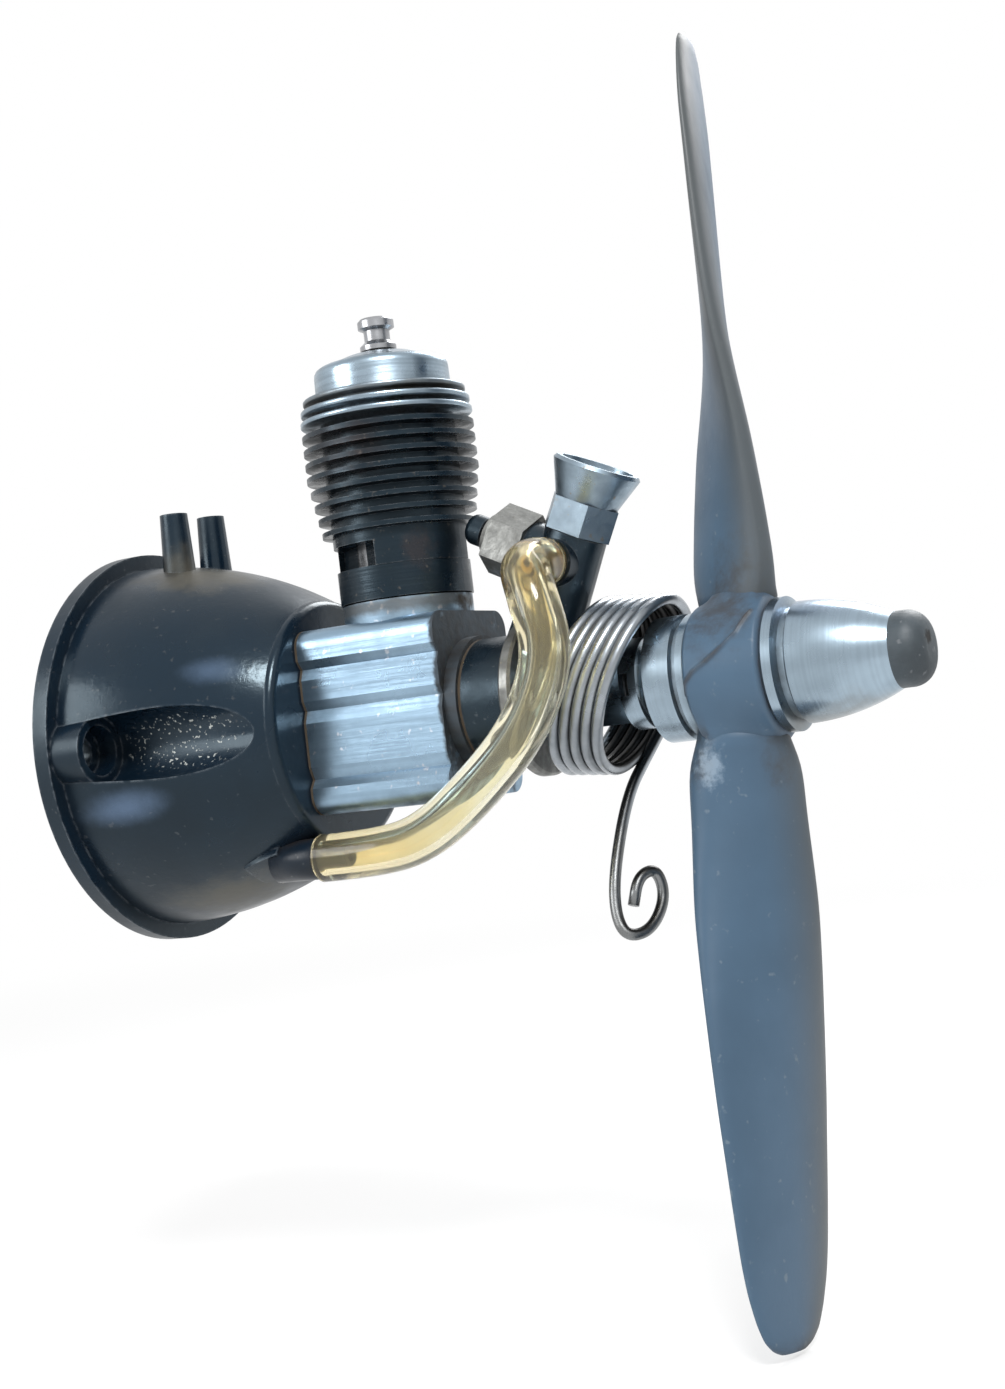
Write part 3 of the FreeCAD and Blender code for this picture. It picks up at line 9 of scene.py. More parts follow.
import bpy
import numpy as np
from bpy.props import FloatProperty, FloatVectorProperty, PointerProperty
from mathutils import Matrix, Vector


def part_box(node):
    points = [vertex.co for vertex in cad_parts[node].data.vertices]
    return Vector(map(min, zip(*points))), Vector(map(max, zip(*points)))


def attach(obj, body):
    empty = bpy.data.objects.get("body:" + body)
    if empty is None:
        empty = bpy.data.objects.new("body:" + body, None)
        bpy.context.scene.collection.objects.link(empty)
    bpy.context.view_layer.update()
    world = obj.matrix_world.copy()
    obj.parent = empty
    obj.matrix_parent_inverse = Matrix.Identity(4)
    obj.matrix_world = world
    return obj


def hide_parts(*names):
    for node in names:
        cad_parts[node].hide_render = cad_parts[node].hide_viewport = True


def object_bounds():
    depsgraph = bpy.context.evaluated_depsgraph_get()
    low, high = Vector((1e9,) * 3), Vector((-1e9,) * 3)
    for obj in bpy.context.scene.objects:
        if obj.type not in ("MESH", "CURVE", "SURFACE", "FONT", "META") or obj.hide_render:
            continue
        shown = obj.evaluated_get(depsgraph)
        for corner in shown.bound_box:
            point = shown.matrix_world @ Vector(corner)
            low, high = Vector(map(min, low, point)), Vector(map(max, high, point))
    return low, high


bl_info = {
    "name": "Glow Engine Dresser",
    "version": (1, 0, 0),
    "blender": (4, 5, 0),
    "location": "View3D > Sidebar > Engine",
    "description": "Builds the visible pieces and finishes of a model glow engine round its CAD frame",
    "category": "Object",
}

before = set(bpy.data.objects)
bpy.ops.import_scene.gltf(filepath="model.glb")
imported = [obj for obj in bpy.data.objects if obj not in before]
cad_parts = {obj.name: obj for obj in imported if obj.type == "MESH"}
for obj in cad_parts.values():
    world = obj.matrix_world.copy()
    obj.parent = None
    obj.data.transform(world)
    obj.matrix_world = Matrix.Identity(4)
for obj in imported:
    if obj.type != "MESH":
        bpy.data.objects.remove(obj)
cad_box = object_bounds()
MM = 0.001


def length(name, default, note):
    """A length property in metres."""
    return FloatProperty(name=name, description=note, default=default, unit="LENGTH", precision=5)


def tint(name, default, note):
    """A linear colour property."""
    return FloatVectorProperty(name=name, description=note, default=default, subtype="COLOR",
                               min=0.0, max=1.0)


class EngineSizes(bpy.types.PropertyGroup):
    """Sizes that the CAD source and the pieces here share."""

    hose_radius: length("Fuel line radius", 0.0027, "Outer radius of the fuel line")
    hose_bore: length("Fuel line bore", 0.0013, "Inner radius of the fuel line")
    wire_radius: length("Spring wire radius", 0.00064, "Radius of the starter spring's wire")
    spring_radius: length("Spring radius", 0.0096, "Mean radius of the starter spring's turns")
    spring_pitch: length("Spring pitch", 0.00128, "Spacing of the starter spring's turns")
    spring_turns: FloatProperty(name="Spring turns", description="Number of turns in the coil",
                                default=5.54)
    spring_lean: FloatProperty(name="Spring lean", description="Forward lean of the turns",
                               subtype="ANGLE", default=math.radians(24.0))
    spring_sag: FloatProperty(name="Spring sag", description="Downward slope of the coil's centre line",
                              subtype="ANGLE", default=math.radians(5.4))
    prop_radius: length("Propeller radius", 0.06985, "Radius of the blade tips")
    prop_chord: length("Blade chord", 0.017, "Widest chord of a blade")
    prop_plane: length("Propeller plane", 0.0762, "Station of the blades' pitch line")
    hub_radius: length("Hub radius", 0.0073, "Radius of the propeller's hub")
    prop_rest: FloatProperty(name="Propeller rest", description="Turn of the upper blade at rest",
                             subtype="ANGLE", default=math.radians(5.94))


class EngineColours(bpy.types.PropertyGroup):
    """Base colours of the finishes."""

    tank: tint("Tank plastic", (0.0034, 0.0105, 0.0205), "Blue-black moulded plastic")
    blade: tint("Propeller nylon", (0.054, 0.1, 0.156), "Slate blue nylon")
    cast: tint("Crankcase alloy", (0.35, 0.5, 0.64), "Satin extruded alloy")
    turned: tint("Turned alloy", (0.355, 0.45, 0.53), "Bright turned alloy")
    black: tint("Black oxide", (0.0032, 0.0078, 0.013), "Oxidised cylinder steel")
    steel: tint("Bright steel", (0.42, 0.43, 0.45), "Ground steel")
    wire: tint("Spring steel", (0.34, 0.37, 0.4), "Drawn spring wire")
    brass: tint("Brass", (0.6, 0.42, 0.16), "Turned brass")
    amber: tint("Aged tubing", (0.92, 0.9, 0.74), "Amber vinyl tubing")
    rubber: tint("Rubber", (0.04, 0.055, 0.066), "Dark rubber")
    # This colour also paints the shade in crevices.
    grime_and_shade: tint("Grime And Shade", (0.03, 0.02, 0.011), "Burnt oil and dust")


# Mesh making

def skin(name, rows, closed=True):
    """A skin from rows of points: row i, column j is a point of two parameters, and columns wrap round.

    A closed skin's end rows are closed by fans to their mean points. The skin is turned to face out.
    """
    rows = np.asarray(rows, float)
    count, around = rows.shape[:2]
    ring = np.arange(around)
    after = (ring + 1) % around
    i, j = np.meshgrid(np.arange(count - 1), ring, indexing="ij")
    k = after[j]
    quads = np.stack([i * around + j, i * around + k, (i + 1) * around + k, (i + 1) * around + j], -1)
    quads = quads.reshape(-1, 4)
    points = rows.reshape(-1, 3)
    fans = np.empty((0, 3), int)
    if closed:
        total = len(points)
        points = np.concatenate([points, rows[[0, -1]].mean(1)])
        fans = np.concatenate([
            np.stack([np.full(around, total), after, ring], -1),
            np.stack([np.full(around, total + 1), total - around + ring, total - around + after], -1)])
    tri = points[np.concatenate([quads[:, [0, 1, 2]], quads[:, [0, 2, 3]], fans])]
    volume = np.einsum("ij,ij->i", tri[:, 0], np.cross(tri[:, 1], tri[:, 2])).sum()
    faces = quads.tolist() + fans.tolist()
    if volume < 0:
        faces = [face[::-1] for face in faces]
    mesh = bpy.data.meshes.new(name)
    mesh.from_pydata(points, [], faces)
    mesh.validate()
    mesh.shade_smooth()
    piece = bpy.data.objects.new(name, mesh)
    bpy.context.scene.collection.objects.link(piece)
    return piece


def mark(piece, name, values):
    """Store a vertex attribute: values in the order of the skin's rows, and 0 on its end fans' points."""
    held = np.zeros(len(piece.data.vertices))
    held[:values.size] = values.ravel()
    piece.data.attributes.new(name, "FLOAT", "POINT").data.foreach_set("value", held)


def mark_inside(piece, start, heading, low, high):
    """Mark how far vertices face a middle line, from low to high along it: 1 is straight inwards."""
    mesh = piece.data
    points = np.empty(len(mesh.vertices) * 3)
    normals = np.empty(len(mesh.vertices) * 3)
    mesh.vertices.foreach_get("co", points)
    mesh.vertex_normals.foreach_get("vector", normals)
    points = points.reshape(-1, 3)
    along = (points - start) @ heading
    inward = start + along[:, None] * heading - points
    inward /= np.linalg.norm(inward, axis=1, keepdims=True)
    facing = (inward * normals.reshape(-1, 3)).sum(1)
    mark(piece, "inside", facing * (along > low) * (along < high))


def swept(name, line, radius, around, across, bore=None):
    """A round tube: each point of the line carries a circle in the plane square to the line's heading.

    point(s, t) = line(s) + radius * (cos t * side(s) + sin t * up(s)), where side is square to the heading
    and to a direction across the line. With a bore, the rows run back along the inner wall.
    """
    heading = np.gradient(line, axis=0)
    heading /= np.linalg.norm(heading, axis=1, keepdims=True)
    side = np.cross(heading, across)
    side /= np.linalg.norm(side, axis=1, keepdims=True)
    up = np.cross(heading, side)
    turn = np.linspace(0, 2 * np.pi, around, endpoint=False)
    ring = np.cos(turn)[None, :, None] * side[:, None] + np.sin(turn)[None, :, None] * up[:, None]
    outer = line[:, None] + ring * radius
    if bore is None:
        return skin(name, outer)
    inner = (line[:, None] + ring * bore)[::-1]
    rows = np.concatenate([outer, inner, outer[:1]])
    return skin(name, rows, closed=False)


def rounded(corners, per):
    """A smooth line in a route of corners: a quadratic curve of so many points at each, between mid-runs."""
    middles = (corners[1:] + corners[:-1]) / 2
    start, bend, end = middles[:-1, None], corners[1:-1, None], middles[1:, None]
    s = (np.arange(per) / per)[None, :, None]
    arcs = (1 - s) ** 2 * start + 2 * s * (1 - s) * bend + s ** 2 * end
    return np.concatenate([corners[:1], arcs.reshape(-1, 3), middles[-1:], corners[-1:]])


# Shader groups

def group(name, inputs, outputs):
    """An empty shader node group with its named sockets, its input node and its output node."""
    tree = bpy.data.node_groups.new(name, "ShaderNodeTree")
    for label, kind, value in inputs:
        socket = tree.interface.new_socket(label, in_out="INPUT", socket_type=kind)
        socket.default_value = value
    for label, kind in outputs:
        tree.interface.new_socket(label, in_out="OUTPUT", socket_type=kind)
    return tree, tree.nodes.new("NodeGroupInput"), tree.nodes.new("NodeGroupOutput")


def feed(tree, socket, value):
    """Link a socket to another node's output, or give it a value; a colour is three numbers."""
    if isinstance(value, bpy.types.NodeSocket):
        tree.links.new(socket, value)
    else:
        socket.default_value = (*value, 1.0) if socket.type == "RGBA" else value


def feed_named(tree, made, **values):
    """Feed a node's inputs by their names, with underscores for spaces."""
    for key, value in values.items():
        feed(tree, made.inputs[key.replace("_", " ")], value)


def node(tree, kind, inputs=(), **settings):
    """A node with its settings, and with its inputs fed by name or place."""
    made = tree.nodes.new(kind)
    for key, value in settings.items():
        setattr(made, key, value)
    for place, value in inputs:
        feed(tree, made.inputs[place], value)
    return made


def maths(tree, operation, first, second, clamp=False):
    """The result of a Math node."""
    made = node(tree, "ShaderNodeMath", [(0, first), (1, second)], operation=operation, use_clamp=clamp)
    return made.outputs[0]


def vector_maths(tree, operation, *operands):
    """The result of a Vector Math node: a number for a length or a dot product, else a vector."""
    made = node(tree, "ShaderNodeVectorMath", enumerate(operands), operation=operation)
    return made.outputs["Value" if operation in ("LENGTH", "DOT_PRODUCT") else "Vector"]


def ramp(tree, value, low, high, bottom=0.0, top=1.0):
    """A Map Range node that goes smoothly from bottom to top while the value goes from low to high."""
    made = node(tree, "ShaderNodeMapRange", [
        ("Value", value), ("From Min", low), ("From Max", high), ("To Min", bottom), ("To Max", top)],
        interpolation_type="SMOOTHSTEP")
    return made.outputs["Result"]


def noise(tree, scale, detail, rough, stretch=(1.0, 1.0, 1.0), shift=(0.0, 0.0, 0.0)):
    """Noise on Object coordinates, stretched and shifted."""
    place = tree.nodes.new("ShaderNodeTexCoord")
    mapping = node(tree, "ShaderNodeMapping", [
        ("Vector", place.outputs["Object"]), ("Location", shift), ("Scale", stretch)])
    made = node(tree, "ShaderNodeTexNoise", [
        ("Vector", mapping.outputs["Vector"]), ("Scale", scale), ("Detail", detail), ("Roughness", rough)])
    return made.outputs["Fac"]


def blend_colour(tree, mask, first, second):
    """A colour Mix node: first where the mask is 0, second where it is 1."""
    return node(tree, "ShaderNodeMix", [(0, mask), (6, first), (7, second)], data_type="RGBA").outputs[2]


def shade(colour, share):
    """A colour darkened to a share of itself."""
    return tuple(channel * share for channel in colour)


def make_edge_group():
    """Worn edges: how far the surface's normal turns within a radius, broken up by noise."""
    tree, given, result = group("Worn Edges", [
        ("Radius", "NodeSocketFloat", 0.0003), ("Amount", "NodeSocketFloat", 0.5),
        ("Scale", "NodeSocketFloat", 900.0)], [("Mask", "NodeSocketFloat")])
    bevel = node(tree, "ShaderNodeBevel", [("Radius", given.outputs["Radius"])], samples=3)
    facing = tree.nodes.new("ShaderNodeNewGeometry")
    same = vector_maths(tree, "DOT_PRODUCT", bevel.outputs["Normal"], facing.outputs["Normal"])
    turn = maths(tree, "SUBTRACT", 1.0, same)
    edge = ramp(tree, turn, 0.015, 0.16)
    patch = ramp(tree, noise(tree, given.outputs["Scale"], 4.0, 0.6), 0.36, 0.62)
    mask = maths(tree, "MULTIPLY", maths(tree, "MULTIPLY", edge, patch), given.outputs["Amount"], True)
    tree.links.new(result.inputs["Mask"], mask)
    return tree


def make_grime_and_shade_group():
    """Grime and painted shade: dark where the surface is shut in by what stands near it, as ambient
    occlusion finds it, broken up by noise.
    """
    tree, given, result = group("Grime And Shade", [
        ("Distance", "NodeSocketFloat", 0.002), ("Amount", "NodeSocketFloat", 0.8),
        ("Scale", "NodeSocketFloat", 260.0)], [("Mask", "NodeSocketFloat")])
    shut = node(tree, "ShaderNodeAmbientOcclusion", [("Distance", given.outputs["Distance"])], samples=4)
    crevice = maths(tree, "SUBTRACT", 1.0, shut.outputs["AO"])
    broken = ramp(tree, noise(tree, given.outputs["Scale"], 5.0, 0.65), 0.3, 0.72, 0.35, 1.25)
    shut_in = maths(tree, "MULTIPLY", crevice, broken)
    mask = maths(tree, "MULTIPLY", shut_in, given.outputs["Amount"], True)
    tree.links.new(result.inputs["Mask"], mask)
    return tree


def make_surface_group():
    """Surface life: a slow mottle, fine speckles, and a bump height of grain with stretched scratches."""
    tree, given, result = group("Surface Life", [
        ("Mottle Scale", "NodeSocketFloat", 120.0), ("Speckle Scale", "NodeSocketFloat", 1600.0),
        ("Scratches", "NodeSocketFloat", 0.3)],
        [("Mottle", "NodeSocketFloat"), ("Speckles", "NodeSocketFloat"), ("Height", "NodeSocketFloat")])
    mottle = ramp(tree, noise(tree, given.outputs["Mottle Scale"], 4.0, 0.6), 0.28, 0.74)
    fine = noise(tree, given.outputs["Speckle Scale"], 2.0, 0.5)
    speckles = ramp(tree, fine, 0.66, 0.76)
    scratch = ramp(tree, noise(tree, 420.0, 3.0, 0.5, (1.0, 1.0, 14.0), (0.02, 0.0, 0.01)), 0.6, 0.72)
    other = ramp(tree, noise(tree, 380.0, 3.0, 0.5, (11.0, 1.0, 1.5), (0.0, 0.03, 0.0)), 0.62, 0.72)
    marks = maths(tree, "MULTIPLY", maths(tree, "MAXIMUM", scratch, other), given.outputs["Scratches"])
    height = maths(tree, "SUBTRACT", fine, marks)
    tree.links.new(result.inputs["Mottle"], mottle)
    tree.links.new(result.inputs["Speckles"], speckles)
    tree.links.new(result.inputs["Height"], height)
    return tree


def make_turning_group():
    """Turning marks: fine rings square to an axis, from noise squeezed along that axis."""
    tree, given, result = group("Turning Marks", [
        ("Squeeze", "NodeSocketVector", (3.0, 0.05, 0.05))], [("Rings", "NodeSocketFloat")])
    place = tree.nodes.new("ShaderNodeTexCoord")
    squeezed = vector_maths(tree, "MULTIPLY", place.outputs["Object"], given.outputs["Squeeze"])
    rings = node(tree, "ShaderNodeTexNoise", [("Vector", squeezed), ("Scale", 1000.0), ("Detail", 3.0)])
    tree.links.new(result.inputs["Rings"], rings.outputs["Fac"])
    return tree


def make_patch_group():
    """A soft patch: 1 near a point on Object coordinates, 0 past a reach, with a broken border."""
    tree, given, result = group("Patch", [
        ("Centre", "NodeSocketVector", (0.0, 0.0, 0.0)), ("Weights", "NodeSocketVector", (1.0, 1.0, 1.0)),
        ("Inner", "NodeSocketFloat", 0.002), ("Outer", "NodeSocketFloat", 0.006),
        ("Broken", "NodeSocketFloat", 0.004), ("Scale", "NodeSocketFloat", 500.0)],
        [("Mask", "NodeSocketFloat")])
    place = tree.nodes.new("ShaderNodeTexCoord")
    away = vector_maths(tree, "SUBTRACT", place.outputs["Object"], given.outputs["Centre"])
    weighed = vector_maths(tree, "MULTIPLY", away, given.outputs["Weights"])
    grain = maths(tree, "SUBTRACT", noise(tree, given.outputs["Scale"], 5.0, 0.65), 0.5)
    jitter = maths(tree, "MULTIPLY", grain, given.outputs["Broken"])
    distance = maths(tree, "ADD", vector_maths(tree, "LENGTH", weighed), jitter)
    mask = ramp(tree, distance, given.outputs["Inner"], given.outputs["Outer"], 1.0, 0.0)
    tree.links.new(result.inputs["Mask"], mask)
    return tree


def shared(name):
    """A shader group by name, built the first time that it is asked for."""
    makers = {"Worn Edges": make_edge_group, "Grime And Shade": make_grime_and_shade_group, "Surface Life": make_surface_group,
              "Turning Marks": make_turning_group, "Patch": make_patch_group}
    return bpy.data.node_groups.get(name) or makers[name]()


def placed(tree, name, **values):
    """A shader group placed in a material with its own values."""
    made = node(tree, "ShaderNodeGroup", node_tree=shared(name))
    feed_named(tree, made, **values)
    return made.outputs


# Finishes

# Pale dust, as in the tank's screw pocket
DUST = (0.42, 0.44, 0.42)


def finish(name, colour, rough=0.4, metal=0.0, dark=0.6, worn=None, edge=0.0, edge_radius=0.0003,
           grime_and_shade=0.6, grime_and_shade_reach=0.002, bump=0.03, mottle=120.0, speckle=1600.0, scratches=0.3,
           speckle_colour=None, rough_spread=0.12, rings=None, ring_depth=0.15, patches=(), shaded=(),
           dust=None, **plain):
    """A material: its colour mottled towards dark, worn on edges, darkened in crevices by grime and painted
    shade, with a fine grain.

    Rings are turning marks, each patch is (colour, share, roughness, the Patch group's values), each
    shaded entry is (vertex attribute, colour, share), and plain values go to the shader's own sockets.
    """
    material = bpy.data.materials.new(name)
    material.use_nodes = True
    tree = material.node_tree
    shader = tree.nodes["Principled BSDF"]
    life = placed(tree, "Surface Life", Mottle_Scale=mottle, Speckle_Scale=speckle, Scratches=scratches)
    base = blend_colour(tree, life["Mottle"], shade(colour, dark), colour)
    if speckle_colour is not None:
        base = blend_colour(tree, life["Speckles"], base, speckle_colour)
    roughness = ramp(tree, life["Mottle"], 0.0, 1.0, rough + rough_spread, rough - rough_spread / 2)
    if worn is not None:
        mask = placed(tree, "Worn Edges", Radius=edge_radius, Amount=edge)["Mask"]
        base = blend_colour(tree, mask, base, worn)
    if grime_and_shade > 0:
        # Crevices darken by ambient occlusion: painted shade there as well as grime.
        dirt = placed(tree, "Grime And Shade", Distance=grime_and_shade_reach, Amount=grime_and_shade)["Mask"]
        base = blend_colour(tree, dirt, base, bpy.context.scene.engine_colours.grime_and_shade)
        roughness = ramp(tree, dirt, 0.0, 1.0, roughness, 0.8)
    # Patches hold stains and dirt, and in places painted highlights, reflections and shade.
    for overlay, share, overlay_rough, reach in patches:
        mask = maths(tree, "MULTIPLY", placed(tree, "Patch", **reach)["Mask"], share)
        base = blend_colour(tree, mask, base, overlay)
        roughness = ramp(tree, mask, 0.0, 1.0, roughness, overlay_rough)
    if dust is not None:
        specks = ramp(tree, noise(tree, 2300.0, 2.0, 0.5, shift=(0.3, 0.1, 0.2)), 0.62, 0.69)
        grains = maths(tree, "MULTIPLY", specks, placed(tree, "Patch", **dust)["Mask"])
        base = blend_colour(tree, grains, base, DUST)
        roughness = ramp(tree, grains, 0.0, 1.0, roughness, 0.8)
    # Shaded entries hold stains and dirt, and the spring's painted inner shade.
    for attribute, overlay, share in shaded:
        held = node(tree, "ShaderNodeAttribute", attribute_name=attribute).outputs["Fac"]
        base = blend_colour(tree, ramp(tree, held, 0.05, 0.55, 0.0, share), base, overlay)
    height = life["Height"]
    if rings is not None:
        marks = placed(tree, "Turning Marks", Squeeze=rings)["Rings"]
        height = maths(tree, "ADD", height, maths(tree, "MULTIPLY", marks, 4.0))
        streaks = ramp(tree, marks, 0.38, 0.62, ring_depth, 0.0)
        base = blend_colour(tree, streaks, base, shade(colour, 0.25))
    relief = node(tree, "ShaderNodeBump", [("Strength", bump), ("Distance", 0.0004), ("Height", height)])
    feed_named(tree, shader, Base_Color=base, Roughness=roughness, Metallic=metal,
               Normal=relief.outputs["Normal"], **plain)
    return material


def spot(centre, weights, inner, outer, broken, scale):
    """The Patch group's values, with lengths in millimetres; weights stretch the distance on each axis."""
    return {"Centre": tuple(value * MM for value in centre), "Weights": weights, "Inner": inner * MM,
            "Outer": outer * MM, "Broken": broken * MM, "Scale": scale}


def dress(material, *names):
    """Put a material on CAD nodes."""
    for name in names:
        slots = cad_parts[name].data.materials
        slots.clear()
        slots.append(material)


def seat(piece, body, slot, *replaced):
    """Let a piece ride on its body and stand for the CAD nodes that it replaces. The slot is not used."""
    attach(piece, body)
    if replaced:
        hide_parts(*replaced)


# Camera

# The camera fitted to the photograph: its axes to the right and up, its place, and its lens
CAMERA_RIGHT = np.array([0.87341, 0.47249, -0.11792])
CAMERA_UP = np.array([0.11718, 0.03113, 0.99262])
CAMERA_PLACE = (0.157997, -0.205017, -0.005712)
PHOTO_HEIGHT = 1389
FOCAL_PIXELS = 2077.92


def pose(right, up, place):
    """The matrix of a camera or lamp by its axes to the right and up and its place."""
    turn = np.eye(4)
    turn[:3] = np.column_stack([right, up, np.cross(right, up), place])
    return Matrix(turn)


class ENGINE_OT_camera(bpy.types.Operator):
    """Place the camera at the photograph's viewing angle."""

    bl_idname = "engine.camera"
    bl_label = "Place Camera"

    def execute(self, context):
        data = bpy.data.cameras.new("photo_camera")
        data.sensor_width = 36.0
        data.lens = data.sensor_width * FOCAL_PIXELS / PHOTO_HEIGHT
        data.clip_start = 0.01
        camera = bpy.data.objects.new("photo_camera", data)
        context.scene.collection.objects.link(camera)
        camera.matrix_world = pose(CAMERA_RIGHT, CAMERA_UP, CAMERA_PLACE)
        context.scene.camera = camera
        return {"FINISHED"}


# Pieces

# Corners of the fuel line's route, from inside the outlet to the carburettor's nipple
FUEL_ROUTE = np.array([
    (27.0, -8.0, -15.1),
    (34.0, -8.0, -15.1),
    (41.5, -9.6, -13.9),
    (49.5, -11.5, -9.4),
    (57.4, -13.3, -3.4),
    (61.6, -14.1, 4.0),
    (60.2, -14.0, 10.6),
    (57.918, -10.6, 14.167),
    (57.918, -5.6, 14.167),
]) * MM


def spline_line(name, corners, steps):
    """Points of one open NURBS spline of order 3 whose control points are the route's corners."""
    curve = bpy.data.curves.new(name + "_line", "CURVE")
    curve.dimensions = "3D"
    curve.resolution_u = steps
    spline = curve.splines.new("NURBS")
    spline.points.add(len(corners) - 1)
    spline.points.foreach_set("co", np.column_stack([corners, np.ones(len(corners))]).ravel())
    spline.order_u = 3
    spline.use_endpoint_u = True
    holder = bpy.data.objects.new(name + "_line", curve)
    bpy.context.scene.collection.objects.link(holder)
    bpy.context.view_layer.update()
    mesh = bpy.data.meshes.new_from_object(holder)
    line = np.empty(len(mesh.vertices) * 3)
    mesh.vertices.foreach_get("co", line)
    bpy.data.objects.remove(holder)
    bpy.data.meshes.remove(mesh)
    return line.reshape(-1, 3)


def tubing(name, colour):
    """Aged clear tubing: amber, a little cloudy, yellower at its ends, with stains where it mottles."""
    material = bpy.data.materials.new(name)
    material.use_nodes = True
    tree = material.node_tree
    shader = tree.nodes["Principled BSDF"]
    life = placed(tree, "Surface Life", Mottle_Scale=90.0, Speckle_Scale=1400.0, Scratches=0.15)
    yellow = (0.9, 0.76, 0.42)
    stained = tuple(channel * share for channel, share in zip(colour, (0.93, 0.86, 0.7)))
    base = blend_colour(tree, life["Mottle"], stained, colour)
    for centre in ((58.5, -11.0, 14.0), (30.0, -8.0, -15.0)):
        near = placed(tree, "Patch", **spot(centre, (1.0, 1.0, 1.0), 3.0, 14.0, 4.0, 180.0))["Mask"]
        base = blend_colour(tree, maths(tree, "MULTIPLY", near, 0.6), base, yellow)
    feed_named(tree, shader, Base_Color=base, Roughness=ramp(tree, life["Mottle"], 0.0, 1.0, 0.16, 0.05),
               IOR=1.38, Transmission_Weight=0.96)
    return material


class ENGINE_OT_fuel_line(bpy.types.Operator):
    """Lay the fuel line from the tank's outlet to the carburettor's nipple."""

    bl_idname = "engine.fuel_line"
    bl_label = "Lay Fuel Line"

    def execute(self, context):
        sizes = context.scene.engine_sizes
        line = spline_line("fuel_line", FUEL_ROUTE, 12)
        piece = swept("fuel_line", line, sizes.hose_radius, 40, (0.7071, -0.7071, 0.0), sizes.hose_bore)
        piece.data.materials.append(tubing("amber_tubing", context.scene.engine_colours.amber))
        seat(piece, "engine", "amber_tube", "fuel_tube")
        return {"FINISHED"}


class ENGINE_OT_outlet(bpy.types.Operator):
    """Turn the moulded collar that the fuel line butts against."""

    bl_idname = "engine.outlet"
    bl_label = "Turn Outlet Collar"

    def execute(self, context):
        start = FUEL_ROUTE[0]
        wide, rear, front = 2.35 * MM, start[0] - 6.4 * MM, start[0] + 0.1 * MM
        rows = turned_rows([
            (rear, wide - 0.5 * MM), (rear + 0.4 * MM, wide), (front - 0.6 * MM, wide),
            (front - 0.2 * MM, wide - 0.12 * MM), (front, wide - 0.45 * MM)], 64)
        rows[..., 1:] += start[1:]
        piece = skin("outlet_collar", rows)
        tone = context.scene.engine_colours
        piece.data.materials.append(finish(
            "outlet_plastic", tone.tank, rough=0.3, dark=0.6, worn=(0.07, 0.08, 0.09), edge=0.6,
            edge_radius=0.0003, grime_and_shade=0.6, bump=0.05, speckle=1200.0, speckle_colour=(0.06, 0.065, 0.07),
            Specular_IOR_Level=0.3))
        seat(piece, "engine", "moulded_plastic")
        return {"FINISHED"}


# The starter spring: corners in each turn, the hole of its leg, the middle and angle of its first corner,
# and the corners of its tail
SPRING_STEPS = 8
SPRING_HOLE = np.array([52.04, -7.2, 1.2]) * MM
SPRING_REAR = np.array([58.8, 0.0, 0.5]) * MM
SPRING_START = math.radians(270.0)
SPRING_TAIL = np.array([
    (62.2, 5.4, -7.9),
    (60.8, 2.1, -11.9),
    (60.2, -2.2, -19.8),
    (60.4, -3.6, -24.4),
    (61.7, -4.0, -26.8),
    (63.6, -1.6, -26.4),
    (64.5, 0.9, -23.2),
    (63.8, 0.9, -20.0),
    (62.4, -1.0, -20.6),
    (62.0, -2.2, -23.6),
]) * MM


class ENGINE_OT_spring(bpy.types.Operator):
    """Wind the starter spring with its anchored leg and its tail."""

    bl_idname = "engine.spring"
    bl_label = "Wind Starter Spring"

    def execute(self, context):
        sizes = context.scene.engine_sizes
        lean, sag = sizes.spring_lean, sizes.spring_sag
        across = np.array([math.sin(lean), 0, math.cos(lean)])
        heading = np.array([math.cos(sag), 0, -math.sin(sag)])
        step = np.arange(int(sizes.spring_turns * SPRING_STEPS) + 1)[:, None]
        turn = SPRING_START + 2 * np.pi * step / SPRING_STEPS
        corner_radius = sizes.spring_radius / math.cos(math.pi / SPRING_STEPS)
        middle = SPRING_REAR + heading * sizes.spring_pitch * step / SPRING_STEPS
        coil = middle + corner_radius * (np.cos(turn) * across + np.sin(turn) * np.array([0.0, 1.0, 0.0]))
        leg = SPRING_HOLE + np.array([(0, 0, 0), (2.2, 0, 0), (4.6, -1.9, -2.6)]) * MM
        line = rounded(np.concatenate([leg, coil, SPRING_TAIL]), 10)
        across_wire = (math.cos(lean), 0, -math.sin(lean))
        piece = swept("starter_spring_wire", line, sizes.wire_radius, 20, across_wire)
        # The inward-facing sides of the turns are marked here and painted near black in the finish: painted
        # shade inside the coil.
        mark_inside(piece, SPRING_REAR, heading, -1 * MM, 9 * MM)
        piece.data.materials.append(finish(
            "spring_wire", context.scene.engine_colours.wire, rough=0.3, metal=1.0, dark=0.62, grime_and_shade=0.7,
            grime_and_shade_reach=0.0007, bump=0.05, mottle=160.0, shaded=[("inside", (0.008, 0.007, 0.006), 0.93)],
            patches=[((0.11, 0.095, 0.07), 0.45, 0.4,
                      spot((62.0, 0.0, -30.0), (0.3, 0.3, 1.0), 12.0, 19.0, 10.0, 500.0))]))
        seat(piece, "engine", "spring_steel", "starter_spring")
        return {"FINISHED"}


